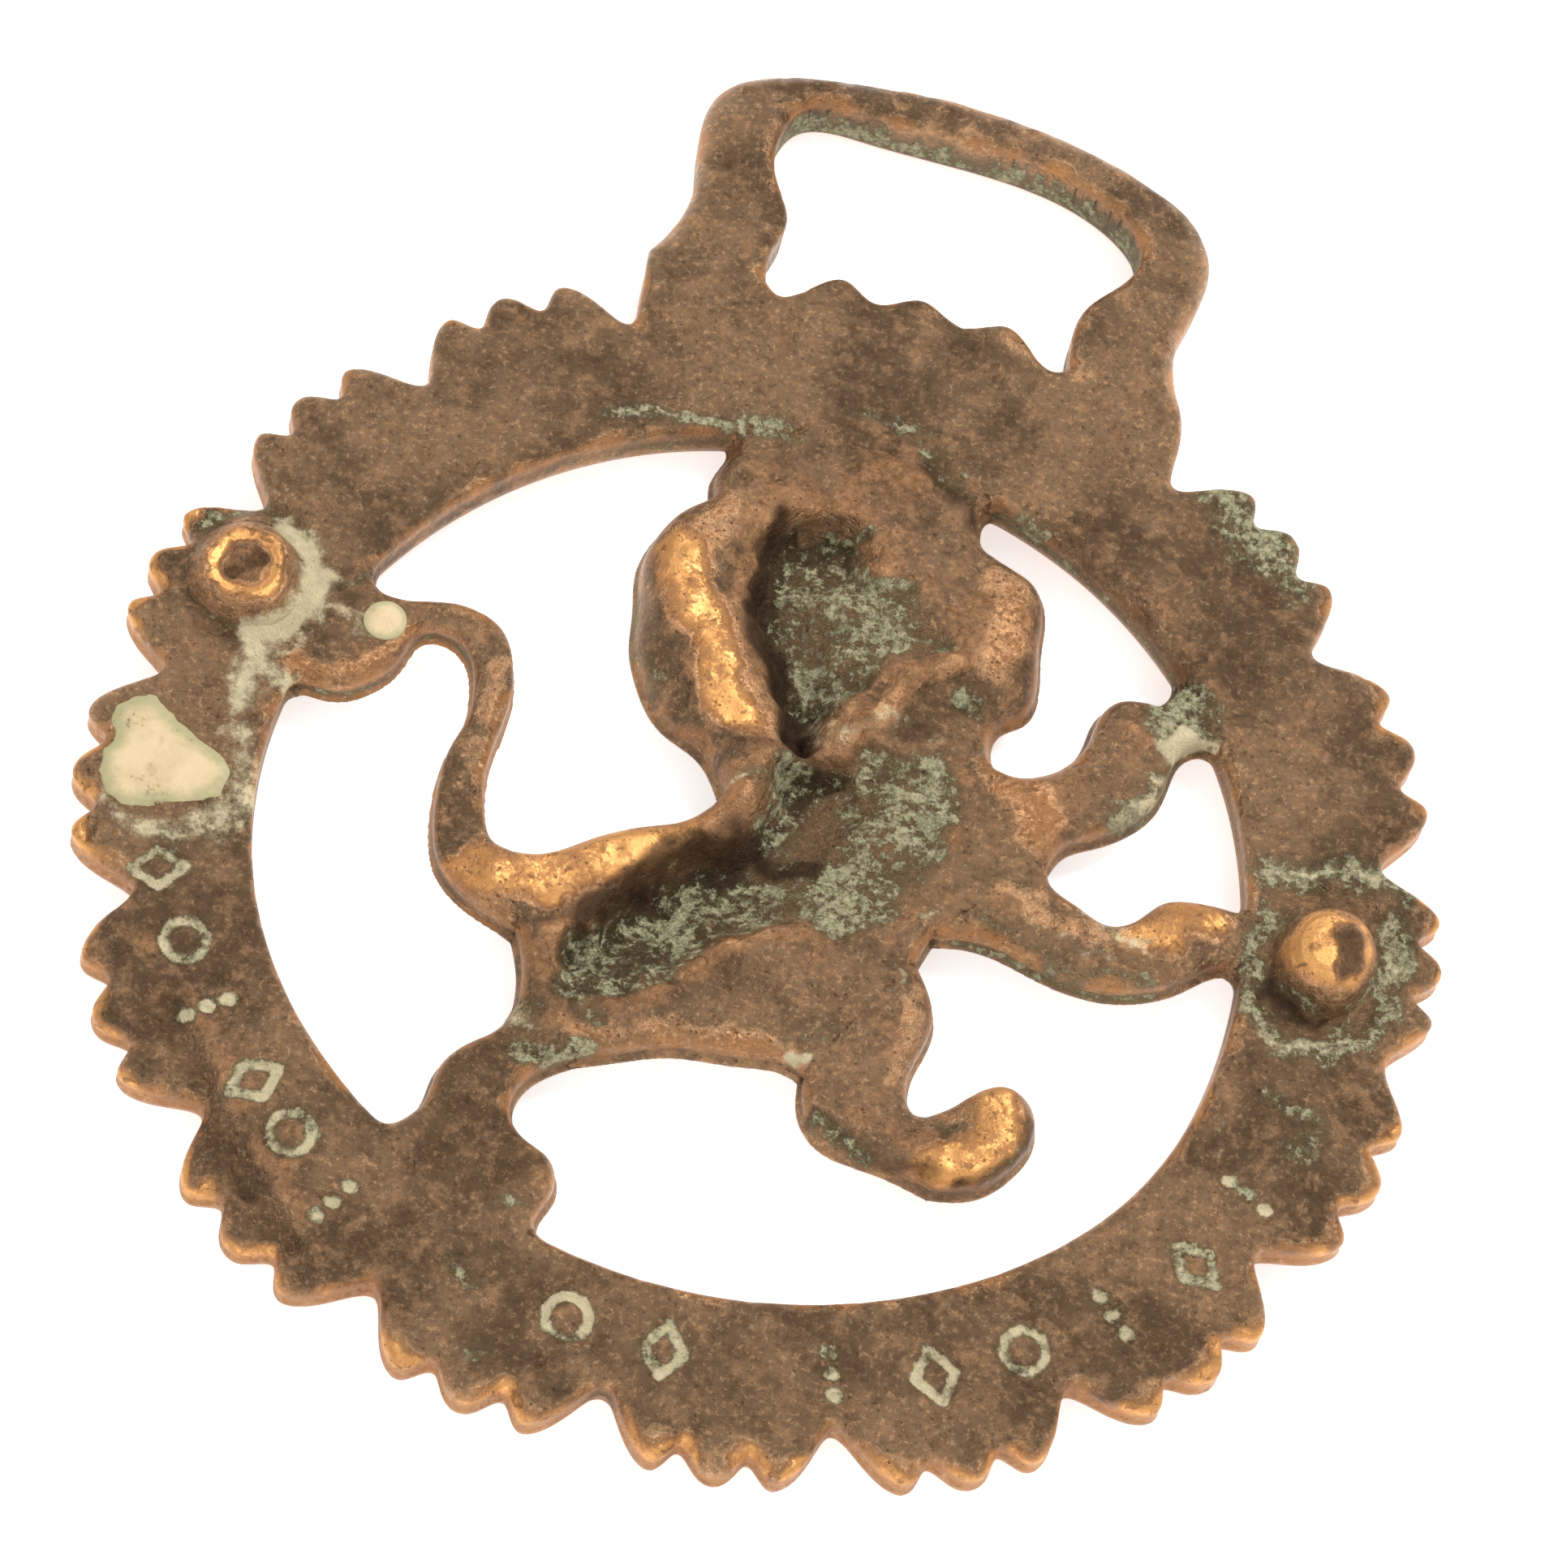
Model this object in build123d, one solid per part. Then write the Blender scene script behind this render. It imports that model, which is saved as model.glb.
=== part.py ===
from build123d import *
from math import cos, exp, hypot, radians, sin
import os

# Cast harness amulet (horse brass): a scalloped ring with a strap hanger on top and a lion rampant
# inside, lying on its front with its hollow back upwards.
#
# Millimetres. +Z points out of the back, +Y points from the ring's centre to the strap hanger.
# Plan points are given about the ring's centre; every solid is moved at the end, so that the origin
# lies under the middle of the whole casting, on the plane that its front rests on.

# ---- levels: the front's high points lie at zero, the back face of the ring at CASTING_T
CASTING_T = 4.0
RING_FRONT = 1.2
LIMB_FRONT = 0.6
TAIL_FRONT = 1.6
POCKET_FLOOR = 1.5
LIMB_ROUNDING = 1.0  # the lion's front edges are rounded over
TAIL_ROUNDING = 0.8

# ---- ring: its outer edge is a row of scallops, each with three round teeth
TIP_R = 37.9
FLAT_DEPTH, FLAT_ANGLE, FLAT_SPREAD = 1.8, 271.0, 28.0  # the ring is pressed flat at the bottom
TOOTH_DEPTH = 1.2
TOOTH_STEPS = ((0.2, 0.25), (0.265, 0.0), (0.355, TOOTH_DEPTH), (0.45, 0.05), (0.555, 0.0),
               (0.645, TOOTH_DEPTH), (0.735, 0.0), (0.8, 0.25))
NOTCH_DEPTH = 3.2
SHALLOW_NOTCH, SHALLOW_NOTCH_DEPTH = 356.5, 2.0
NOTCHES = (117.5, 139.0, 159.5, 179.5, 202.0, 224.0, 246.8, 269.2, 290.0, 311.5, 333.5, 356.5,
           375.8, 398.8, 420.8)  # angles of the deep notches, uneven as the pattern was cut by hand
HOLE_STEP = 30.0
HOLE_MEAN_R, HOLE_VARIATION = 27.2, 1.2
HOLE_R = (27.0, 26.9, 26.8, 26.6, 26.9, 27.3, 28.0, 28.1, 27.0, 26.6, 27.0, 27.7)

# ---- strap hanger: a loop over a D-shaped slot, on two legs that rise from the ring
HANGER_ROOT_Y = 36.2
RIGHT_ROOT = [(16.75, 33.2), (16.1, HANGER_ROOT_Y)]
LEFT_ROOT = [(-16.35, HANGER_ROOT_Y), (-16.0, 33.3)]
HANGER_EDGE = [
    (16.1, HANGER_ROOT_Y), (15.25, 39.6), (15.9, 43.4), (15.9, 46.9), (14.5, 49.1), (11.4, 50.9),
    (6.0, 52.4), (-1.0, 53.0), (-7.5, 52.3), (-12.4, 51.0), (-15.2, 48.8), (-15.6, 45.5),
    (-14.95, 41.0), (-16.35, HANGER_ROOT_Y),
]
SLOT_EDGE = [
    (-9.2, HANGER_ROOT_Y), (-9.4, 38.2), (-9.0, 40.6), (-10.4, 43.6), (-10.9, 46.6), (-9.9, 49.3),
    (-6.0, 50.0), (0.0, 50.1), (5.3, 49.8), (9.4, 48.4), (11.7, 46.0), (11.3, 43.5), (9.3, 40.6),
    (9.0, 38.4), (9.3, HANGER_ROOT_Y),
]
SLOT_TEETH = [
    (9.3, HANGER_ROOT_Y), (8.6, 35.8), (7.0, 36.7), (5.0, 37.9), (2.7, 37.0), (-0.2, 38.0),
    (-2.7, 36.9), (-4.7, 37.9), (-6.6, 36.7), (-8.3, 35.5), (-9.2, HANGER_ROOT_Y),
]
HANGER_ROUNDING = 1.0

# ---- lion: its plan is a set of regions that meet on straight cuts between these corners
NECK_BACK = (-3.05, 2.5)
NECK_FRONT = (11.0, 9.0)
ARMPIT = (15.15, 3.8)
CHEST = (10.0, -2.2)
GROIN = (9.45, -4.2)
THIGH = (5.2, -12.4)
HOCK_FRONT = (-6.9, -15.2)
HOCK_BACK = (-10.65, -13.0)
TAIL_LOW = (-11.9, -9.0)
TAIL_HIGH = (-13.2, -4.8)

MANE_EDGE = [
    (-8.0, 27.6), (-8.3, 24.2), (-8.7, 22.0), (-8.5, 21.1), (-9.6, 19.8), (-10.8, 17.9),
    (-11.3, 15.5), (-10.8, 12.9), (-10.4, 10.6), (-9.3, 8.2), (-7.4, 6.1), (-5.2, 5.1), NECK_BACK,
]
FACE_EDGE = [
    NECK_FRONT, (10.4, 10.6), (10.8, 12.0), (11.9, 13.0), (12.25, 14.9), (11.8, 17.6), (11.5, 20.0),
    (10.7, 21.5), (8.7, 22.4), (7.1, 23.2), (7.2, 27.2),
]
UPPER_FORELEG_TOP = [
    NECK_FRONT, (12.0, 8.7), (13.3, 9.05), (14.9, 10.5), (15.7, 12.2), (16.0, 14.2), (16.9, 15.4),
    (18.5, 15.8), (20.6, 18.4),
]
UPPER_FORELEG_BELOW = [
    (23.4, 14.9), (21.0, 13.3), (20.6, 11.5), (20.2, 9.6), (19.2, 8.1), (17.4, 6.6), (15.9, 5.5), ARMPIT,
]
LOWER_FORELEG_TOP = [
    ARMPIT, (15.6, 2.8), (17.0, 2.1), (19.0, 1.5), (20.6, 2.2), (21.9, 3.75), (23.5, 4.3), (28.0, 4.2),
]
LOWER_FORELEG_BELOW = [
    (28.0, 1.2), (25.9, 1.0), (24.0, -0.6), (21.8, -2.0), (19.5, -2.6), (16.0, -2.3), (12.4, -1.7), CHEST,
]
BELLY_EDGE = [THIGH, (4.2, -12.1), (1.6, -12.4), (-2.0, -13.0), (-5.0, -14.3), HOCK_FRONT]
RUMP_EDGE = [HOCK_BACK, (-10.9, -11.4), TAIL_LOW]
BACK_EDGE = [TAIL_HIGH, (-11.9, -4.5), (-9.9, -3.0), (-7.2, -1.2), (-4.6, 0.1), NECK_BACK]
RAISED_LEG_FRONT = [
    GROIN, (10.5, -5.6), (11.2, -7.4), (10.9, -9.6), (10.7, -11.4), (11.5, -13.0), (12.8, -12.4),
    (14.5, -10.8), (15.9, -10.15), (17.4, -10.7), (18.0, -12.3), (17.4, -14.2), (15.6, -16.2),
    (13.3, -16.9),
]
RAISED_LEG_SOLE = [(13.3, -16.9), (10.0, -16.3), (6.9, -15.8), (5.7, -14.6), THIGH]
STANDING_LEG_BACK = [
    HOCK_BACK, (-11.2, -14.8), (-12.6, -16.3), (-13.7, -18.2), (-13.9, -20.2), (-14.8, -21.7),
    (-17.0, -23.6),
]
STANDING_LEG_FRONT = [
    (-5.4, -28.0), (-6.4, -24.6), (-5.95, -23.0), (-6.7, -21.4), (-8.5, -20.5), (-9.4, -19.2),
    (-9.1, -17.4), HOCK_FRONT,
]
TAIL_RIGHT = [
    TAIL_HIGH, (-14.4, -4.5), (-15.3, -3.1), (-16.0, -0.6), (-16.05, 1.8), (-15.95, 4.2),
    (-16.4, 6.6), (-17.6, 8.6), (-19.8, 9.4), (-22.0, 9.05), (-24.2, 8.6), (-26.4, 10.8),
]
TAIL_LEFT = [
    (-29.4, 2.3), (-27.0, 2.1), (-25.2, 2.2), (-23.6, 3.3), (-22.5, 5.1), (-21.7, 7.2),
    (-20.2, 7.4), (-18.9, 6.5), (-18.15, 4.6), (-17.95, 2.6), (-18.35, 0.6), (-18.4, -1.7),
    (-17.9, -4.5), (-16.9, -6.6), (-15.2, -7.9), TAIL_LOW,
]
HEAD_POCKET = [
    (-4.8, 17.0), (-3.8, 20.4), (-1.2, 21.6), (2.0, 21.0), (4.6, 18.8), (5.6, 15.8), (3.6, 12.4),
    (1.0, 10.2), (-1.6, 10.6), (-4.0, 13.6),
]
BODY_POCKET = [
    (-1.2, 1.4), (0.8, 5.0), (4.6, 7.4), (8.4, 7.6), (10.2, 5.0), (9.8, 1.2), (7.4, -2.4),
    (2.6, -4.6), (-1.4, -7.0), (-4.4, -10.6), (-7.8, -11.2), (-9.6, -9.0), (-8.2, -5.4), (-5.2, -2.0),
]

# ---- casting lugs on the back of the ring, and two deposits of dried polish
LEFT_LUG_AT, LEFT_LUG_BASE_R, LEFT_LUG_TOP_R, LEFT_LUG_H = (-32.2, 7.2), 3.3, 2.3, 1.3
DIMPLE_R, DIMPLE_DEPTH = 3.2, 0.4
RIGHT_LUG_AT, RIGHT_LUG_R, RIGHT_LUG_H, RIGHT_LUG_ROUNDING = (31.2, 2.6), 2.95, 2.3, 1.2
WORN_FACET_TILT, WORN_FACET_DROP = 14.0, 0.3
SPOT_AT, SPOT_R, SPOT_T, SPOT_PROUD = (-23.9, 6.7), 1.15, 0.5, 0.1
RESIDUE_T, RESIDUE_PROUD = 0.3, 0.15
RESIDUE_EDGE = [
    (-35.1, -1.6), (-36.4, -3.0), (-36.1, -6.0), (-35.3, -8.2), (-33.6, -8.6), (-31.4, -7.9),
    (-29.4, -6.9), (-29.2, -5.0), (-30.6, -3.5), (-32.8, -2.7),
]


def tip_radius(angle):
    """Radius of the circle through the teeth, smaller where the ring is pressed flat."""
    return TIP_R - FLAT_DEPTH * exp(-(((angle - FLAT_ANGLE) / FLAT_SPREAD) ** 2))


def polar(radius, angle):
    return (radius * cos(radians(angle)), radius * sin(radians(angle)))


def notch(angle):
    depth = SHALLOW_NOTCH_DEPTH if angle == SHALLOW_NOTCH else NOTCH_DEPTH
    return polar(tip_radius(angle) - depth, angle)


def scalloped_edge():
    """The ring's outer edge, anticlockwise from the hanger's left leg round to its right leg."""
    points = [*LEFT_ROOT, notch(NOTCHES[0])]
    for start, end in zip(NOTCHES, NOTCHES[1:]):
        for share, depth in TOOTH_STEPS:
            angle = start + share * (end - start)
            points.append(polar(tip_radius(angle) - depth, angle))
        points.append(notch(end))
    return Spline(*points, *RIGHT_ROOT)


def patch(*runs):
    """A face bounded by runs of points, each run a curve, with straight cuts between the runs."""
    edges = []
    for index, run in enumerate(runs):
        edges.append(Spline(*run) if len(run) > 2 else Line(*run))
        following = runs[(index + 1) % len(runs)]
        if run[-1] != following[0]:
            edges.append(Line(run[-1], following[0]))
    return make_face(Wire(edges))


def plate(face, bottom, top=CASTING_T):
    return extrude(Pos(0, 0, bottom) * face, amount=top - bottom, dir=(0, 0, 1))


def closed_curve(points):
    return make_face(Wire([Spline(*points, periodic=True)]))


def on_hole_edge(edge):
    """True for an edge that the lion shares with the ring, which isn't rounded."""
    middle = edge.position_at(0.5)
    ends = (edge.position_at(0.1), edge.position_at(0.9))
    return all(abs(hypot(p.X, p.Y) - HOLE_MEAN_R) < HOLE_VARIATION for p in (middle, *ends))


def front_rounded(shape, rounding=LIMB_ROUNDING):
    """The shape with its free, curved front edges rounded over."""
    front = shape.bounding_box().min.Z
    curved = shape.edges().filter_by(GeomType.BSPLINE)
    at_front = [edge for edge in curved if abs(edge.center().Z - front) < 0.01]
    free = [edge for edge in at_front if edge.length > 2 * rounding and not on_hole_edge(edge)]
    return fillet(free, rounding)


def ring_face():
    across_right_leg = Line(RIGHT_ROOT[-1], SLOT_TEETH[0])
    across_left_leg = Line(SLOT_TEETH[-1], LEFT_ROOT[0])
    return make_face(Wire([scalloped_edge(), across_right_leg, Spline(*SLOT_TEETH), across_left_leg]))


def strap_hanger():
    body = plate(patch(HANGER_EDGE, SLOT_EDGE), 0.0)
    long_edges = [edge for edge in body.edges() if edge.geom_type == GeomType.BSPLINE]
    return fillet(long_edges, HANGER_ROUNDING)


def left_lug():
    stump = Cone(LEFT_LUG_BASE_R, LEFT_LUG_TOP_R, LEFT_LUG_H, align=(Align.CENTER, Align.CENTER, Align.MIN))
    dimple = Pos(0, 0, LEFT_LUG_H + DIMPLE_R - DIMPLE_DEPTH) * Sphere(DIMPLE_R)
    return Pos(*LEFT_LUG_AT, CASTING_T) * (stump - dimple)


def right_lug():
    stud = Cylinder(RIGHT_LUG_R, RIGHT_LUG_H, align=(Align.CENTER, Align.CENTER, Align.MIN))
    stud = fillet(stud.edges().sort_by(Axis.Z)[-1], RIGHT_LUG_ROUNDING)
    cutter = Cylinder(2 * RIGHT_LUG_R, RIGHT_LUG_H, align=(Align.CENTER, Align.CENTER, Align.MIN))
    stud -= Pos(0, 0, RIGHT_LUG_H - WORN_FACET_DROP) * Rot(0, WORN_FACET_TILT, 0) * cutter
    return Pos(*RIGHT_LUG_AT, CASTING_T) * stud


hole = plate(closed_curve([polar(radius, index * HOLE_STEP) for index, radius in enumerate(HOLE_R)]), 0.0)
head_pocket = plate(closed_curve(HEAD_POCKET), POCKET_FLOOR)
body_pocket = plate(closed_curve(BODY_POCKET), POCKET_FLOOR)
spot_floor = CASTING_T + SPOT_PROUD - SPOT_T
spot = Pos(*SPOT_AT, spot_floor) * Cylinder(SPOT_R, SPOT_T, align=(Align.CENTER, Align.CENTER, Align.MIN))
residue_floor = CASTING_T + RESIDUE_PROUD - RESIDUE_T
residue = plate(closed_curve(RESIDUE_EDGE), residue_floor, residue_floor + RESIDUE_T)

head = patch(MANE_EDGE, FACE_EDGE)
torso = patch(BACK_EDGE, [NECK_FRONT, ARMPIT], [CHEST, GROIN], BELLY_EDGE, RUMP_EDGE)
upper_foreleg = patch(UPPER_FORELEG_TOP, UPPER_FORELEG_BELOW)
lower_foreleg = patch(LOWER_FORELEG_TOP, LOWER_FORELEG_BELOW)
standing_leg = patch(STANDING_LEG_BACK, STANDING_LEG_FRONT)
raised_leg = patch(RAISED_LEG_FRONT, RAISED_LEG_SOLE)
tail = patch(TAIL_RIGHT, TAIL_LEFT)

nodes = {
    "toothed_ring": plate(ring_face(), RING_FRONT) - hole - residue,
    "strap_hanger": strap_hanger(),
    "lion_head_and_mane": front_rounded(plate(head, 0.0) & hole) - head_pocket,
    "lion_torso": front_rounded(plate(torso, 0.0)) - body_pocket,
    "lion_upper_foreleg": front_rounded(plate(upper_foreleg, LIMB_FRONT) & hole),
    "lion_lower_foreleg": front_rounded(plate(lower_foreleg, LIMB_FRONT) & hole),
    "lion_raised_hind_leg": plate(raised_leg, LIMB_FRONT),
    "lion_standing_hind_leg": front_rounded(plate(standing_leg, LIMB_FRONT) & hole),
    "lion_tail": front_rounded(plate(tail, TAIL_FRONT) & hole, TAIL_ROUNDING) - spot,
    "left_casting_lug": left_lug(),
    "right_casting_lug": right_lug(),
    "polish_residue_spot": spot,
    "polish_residue_patch": residue,
}

whole = Compound(children=[Compound([solid for solid in shape.solids()]) for shape in nodes.values()])
box = whole.bounding_box()
to_origin = Pos(-(box.min.X + box.max.X) / 2, -(box.min.Y + box.max.Y) / 2, -box.min.Z)
os.makedirs("parts", exist_ok=True)
for name, shape in nodes.items():
    export_step(to_origin * shape, f"parts/{name}.step")
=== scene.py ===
import math

import bmesh
import bpy
import numpy as np
from mathutils import Matrix, Vector


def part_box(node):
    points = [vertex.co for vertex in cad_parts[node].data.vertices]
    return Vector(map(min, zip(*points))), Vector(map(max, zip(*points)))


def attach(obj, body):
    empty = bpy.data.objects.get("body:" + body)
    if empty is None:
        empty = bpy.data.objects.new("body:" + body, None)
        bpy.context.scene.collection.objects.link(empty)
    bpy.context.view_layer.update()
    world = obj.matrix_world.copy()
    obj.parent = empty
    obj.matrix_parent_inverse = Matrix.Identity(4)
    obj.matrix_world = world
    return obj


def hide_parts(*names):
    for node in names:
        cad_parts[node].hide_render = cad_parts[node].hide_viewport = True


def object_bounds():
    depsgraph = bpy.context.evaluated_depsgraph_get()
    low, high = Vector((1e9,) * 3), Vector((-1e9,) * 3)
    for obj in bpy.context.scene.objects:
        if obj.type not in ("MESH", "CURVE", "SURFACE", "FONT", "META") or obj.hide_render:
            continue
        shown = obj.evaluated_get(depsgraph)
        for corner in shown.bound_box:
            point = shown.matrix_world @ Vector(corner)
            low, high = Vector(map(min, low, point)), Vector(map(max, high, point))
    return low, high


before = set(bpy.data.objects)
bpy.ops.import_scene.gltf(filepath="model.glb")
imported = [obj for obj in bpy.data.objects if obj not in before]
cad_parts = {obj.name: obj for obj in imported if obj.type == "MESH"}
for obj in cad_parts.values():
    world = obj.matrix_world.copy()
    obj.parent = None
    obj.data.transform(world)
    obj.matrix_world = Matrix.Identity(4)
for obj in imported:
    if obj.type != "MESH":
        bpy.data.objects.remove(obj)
CAD_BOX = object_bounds()

# The back of a cast horse brass. Plan points are in millimetres about the ring's centre, heights in
# millimetres above the back face of the ring; PLACE moves them into the row frame, in metres.
MM = 0.001
LEFT_LUG_AT = (-32.2, 7.2)
lug_low, lug_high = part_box("left_casting_lug")
PLACE = (lug_low + lug_high) / 2 - Vector((*LEFT_LUG_AT, 0)) * MM
PLACE.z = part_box("toothed_ring")[1].z
PLACE = np.array(PLACE)

# ---- plan of the casting, as in the CAD model
TIP_R = 37.9
FLAT_DEPTH, FLAT_ANGLE, FLAT_SPREAD = 1.8, 271, 28.0
TOOTH_DEPTH = 1.2
TOOTH_STEPS = ((0.2, 0.25), (0.265, 0), (0.355, TOOTH_DEPTH), (0.45, 0.05), (0.555, 0),
               (0.645, TOOTH_DEPTH), (0.735, 0), (0.8, 0.25))
NOTCH_DEPTH = 3.2
SHALLOW_NOTCH, SHALLOW_NOTCH_DEPTH = 356.5, 2.0
NOTCHES = (117.5, 139, 159.5, 179.5, 202, 224, 246.8, 269.2, 290, 311.5, 333.5, 356.5,
           375.8, 398.8, 420.8)
HOLE_STEP = 30.0
HOLE_R = (27, 26.9, 26.8, 26.6, 26.9, 27.3, 28, 28.1, 27, 26.6, 27, 27.7)
RIGHT_ROOT = [(16.75, 33.2), (16.1, 36.2)]
LEFT_ROOT = [(-16.35, 36.2), (-16, 33.3)]
HANGER_EDGE = [
    (16.1, 36.2), (15.25, 39.6), (15.9, 43.4), (15.9, 46.9), (14.5, 49.1), (11.4, 50.9), (6, 52.4),
    (-1, 53), (-7.5, 52.3), (-12.4, 51), (-15.2, 48.8), (-15.6, 45.5), (-14.95, 41), (-16.35, 36.2),
]
SLOT_EDGE = [
    (-9.2, 36.2), (-9.4, 38.2), (-9, 40.6), (-10.4, 43.6), (-10.9, 46.6), (-9.9, 49.3), (-6, 50),
    (0, 50.1), (5.3, 49.8), (9.4, 48.4), (11.7, 46), (11.3, 43.5), (9.3, 40.6), (9, 38.4), (9.3, 36.2),
]
SLOT_TEETH = [
    (9.3, 36.2), (8.6, 35.8), (7, 36.7), (5, 37.9), (2.7, 37), (-0.2, 38), (-2.7, 36.9),
    (-4.7, 37.9), (-6.6, 36.7), (-8.3, 35.5), (-9.2, 36.2),
]
NECK_BACK, NECK_FRONT, ARMPIT, CHEST = (-3.05, 2.5), (11, 9), (15.15, 3.8), (10, -2.2)
GROIN, THIGH, HOCK_FRONT, HOCK_BACK = (9.45, -4.2), (5.2, -12.4), (-6.9, -15.2), (-10.65, -13)
TAIL_LOW, TAIL_HIGH = (-11.9, -9), (-13.2, -4.8)
MANE_EDGE = [
    (-8, 27.6), (-8.3, 24.2), (-8.7, 22), (-8.5, 21.1), (-9.6, 19.8), (-10.8, 17.9), (-11.3, 15.5),
    (-10.8, 12.9), (-10.4, 10.6), (-9.3, 8.2), (-7.4, 6.1), (-5.2, 5.1), NECK_BACK,
]
FACE_EDGE = [
    NECK_FRONT, (10.4, 10.6), (10.8, 12), (11.9, 13), (12.25, 14.9), (11.8, 17.6), (11.5, 20),
    (10.7, 21.5), (8.7, 22.4), (7.1, 23.2), (7.2, 27.2),
]
UPPER_FORELEG_TOP = [
    NECK_FRONT, (12, 8.7), (13.3, 9.05), (14.9, 10.5), (15.7, 12.2), (16, 14.2), (16.9, 15.4),
    (18.5, 15.8), (20.6, 18.4),
]
UPPER_FORELEG_BELOW = [
    (23.4, 14.9), (21, 13.3), (20.6, 11.5), (20.2, 9.6), (19.2, 8.1), (17.4, 6.6), (15.9, 5.5), ARMPIT,
]
LOWER_FORELEG_TOP = [
    ARMPIT, (15.6, 2.8), (17, 2.1), (19, 1.5), (20.6, 2.2), (21.9, 3.75), (23.5, 4.3), (28, 4.2),
]
LOWER_FORELEG_BELOW = [
    (28, 1.2), (25.9, 1), (24, -0.6), (21.8, -2), (19.5, -2.6), (16, -2.3), (12.4, -1.7), CHEST,
]
BELLY_EDGE = [THIGH, (4.2, -12.1), (1.6, -12.4), (-2, -13), (-5, -14.3), HOCK_FRONT]
RUMP_EDGE = [HOCK_BACK, (-10.9, -11.4), TAIL_LOW]
BACK_EDGE = [TAIL_HIGH, (-11.9, -4.5), (-9.9, -3), (-7.2, -1.2), (-4.6, 0.1), NECK_BACK]
RAISED_LEG_FRONT = [
    GROIN, (10.5, -5.6), (11.2, -7.4), (10.9, -9.6), (10.7, -11.4), (11.5, -13), (12.8, -12.4),
    (14.5, -10.8), (15.9, -10.15), (17.4, -10.7), (18, -12.3), (17.4, -14.2), (15.6, -16.2), (13.3, -16.9),
]
RAISED_LEG_SOLE = [(13.3, -16.9), (10, -16.3), (6.9, -15.8), (5.7, -14.6), THIGH]
STANDING_LEG_BACK = [
    HOCK_BACK, (-11.2, -14.8), (-12.6, -16.3), (-13.7, -18.2), (-13.9, -20.2), (-14.8, -21.7), (-17, -23.6),
]
STANDING_LEG_FRONT = [
    (-5.4, -28), (-6.4, -24.6), (-5.95, -23), (-6.7, -21.4), (-8.5, -20.5), (-9.4, -19.2),
    (-9.1, -17.4), HOCK_FRONT,
]
TAIL_RIGHT = [
    TAIL_HIGH, (-14.4, -4.5), (-15.3, -3.1), (-16, -0.6), (-16.05, 1.8), (-15.95, 4.2), (-16.4, 6.6),
    (-17.6, 8.6), (-19.8, 9.4), (-22, 9.05), (-24.2, 8.6), (-26.4, 10.8),
]
TAIL_LEFT = [
    (-29.4, 2.3), (-27, 2.1), (-25.2, 2.2), (-23.6, 3.3), (-22.5, 5.1), (-21.7, 7.2), (-20.2, 7.4),
    (-18.9, 6.5), (-18.15, 4.6), (-17.95, 2.6), (-18.35, 0.6), (-18.4, -1.7), (-17.9, -4.5),
    (-16.9, -6.6), (-15.2, -7.9), TAIL_LOW,
]
RESIDUE_EDGE = [
    (-36.3, -2.6), (-35.4, -1.9), (-34.4, -1.6), (-33.4, -2.4), (-31.7, -3.3), (-30, -3.9),
    (-29.2, -4.8), (-29.2, -6.5), (-30.6, -7.4), (-32.7, -8.3), (-34.3, -8.6), (-35.3, -8.3),
    (-36.1, -6.9), (-36.3, -5.6), (-35.9, -4.9), (-36.5, -3.8),
]
RIGHT_LUG_AT, SPOT_AT = (31.2, 2.6), (-23.9, 6.7)

# ---- the working grid of heights and distances
STEP = 0.16
GRID_X = np.arange(-39.2, 39.2, STEP)
GRID_Y = np.arange(-37.6, 54.6, STEP)
GRID_Z = np.arange(-4.6, 1.9, STEP)
X, Y = GRID_X[:, None], GRID_Y[None, :]
BAND = 4.0
RADIUS, ANGLE = np.hypot(X, Y), np.degrees(np.arctan2(Y, X)) % 360.0


def curve(points, closed=False, spacing=0.3):
    """Points along a cubic spline that passes through the given ones."""
    p = np.array(points, float)
    if closed:
        p = np.vstack([p, p[:1]])
    if len(p) < 3:
        return p
    n, gap = len(p), np.hypot(*np.diff(p, axis=0).T)
    along = np.concatenate([[0], np.cumsum(gap)])
    matrix, right = np.zeros((n, n)), np.zeros((n, 2))
    slope = np.diff(p, axis=0) / gap[:, None]
    for i in range(1, n - 1):
        matrix[i, i - 1:i + 2] = gap[i - 1], 2 * (gap[i - 1] + gap[i]), gap[i]
        right[i] = 6 * (slope[i] - slope[i - 1])
    matrix[0, 0] = matrix[-1, -1] = 1.0
    if closed:
        matrix[0, -1] = -1.0
        matrix[-1, [0, 1, -2, -1]] = 2 * gap[0], gap[0], gap[-1], 2 * gap[-1]
        right[-1] = 6 * (slope[0] - slope[-1])
    bend = np.linalg.solve(matrix, right)
    s = np.linspace(0, along[-1], max(3, int(along[-1] / spacing)))
    i = np.clip(np.searchsorted(along, s, side="right") - 1, 0, n - 2)
    g, after, before = gap[i][:, None], (s - along[i])[:, None], (along[i + 1] - s)[:, None]
    cubic = (bend[i] * before**3 + bend[i + 1] * after**3) / (6 * g)
    return cubic + (p[i] / g - bend[i] * g / 6) * before + (p[i + 1] / g - bend[i + 1] * g / 6) * after


def patch(*runs):
    """The closed outline of a region bounded by several runs of points."""
    return np.vstack([curve(run) for run in runs])


def step_window(grid, low, high):
    return slice(max(0, np.searchsorted(grid, low)), np.searchsorted(grid, high))


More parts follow.
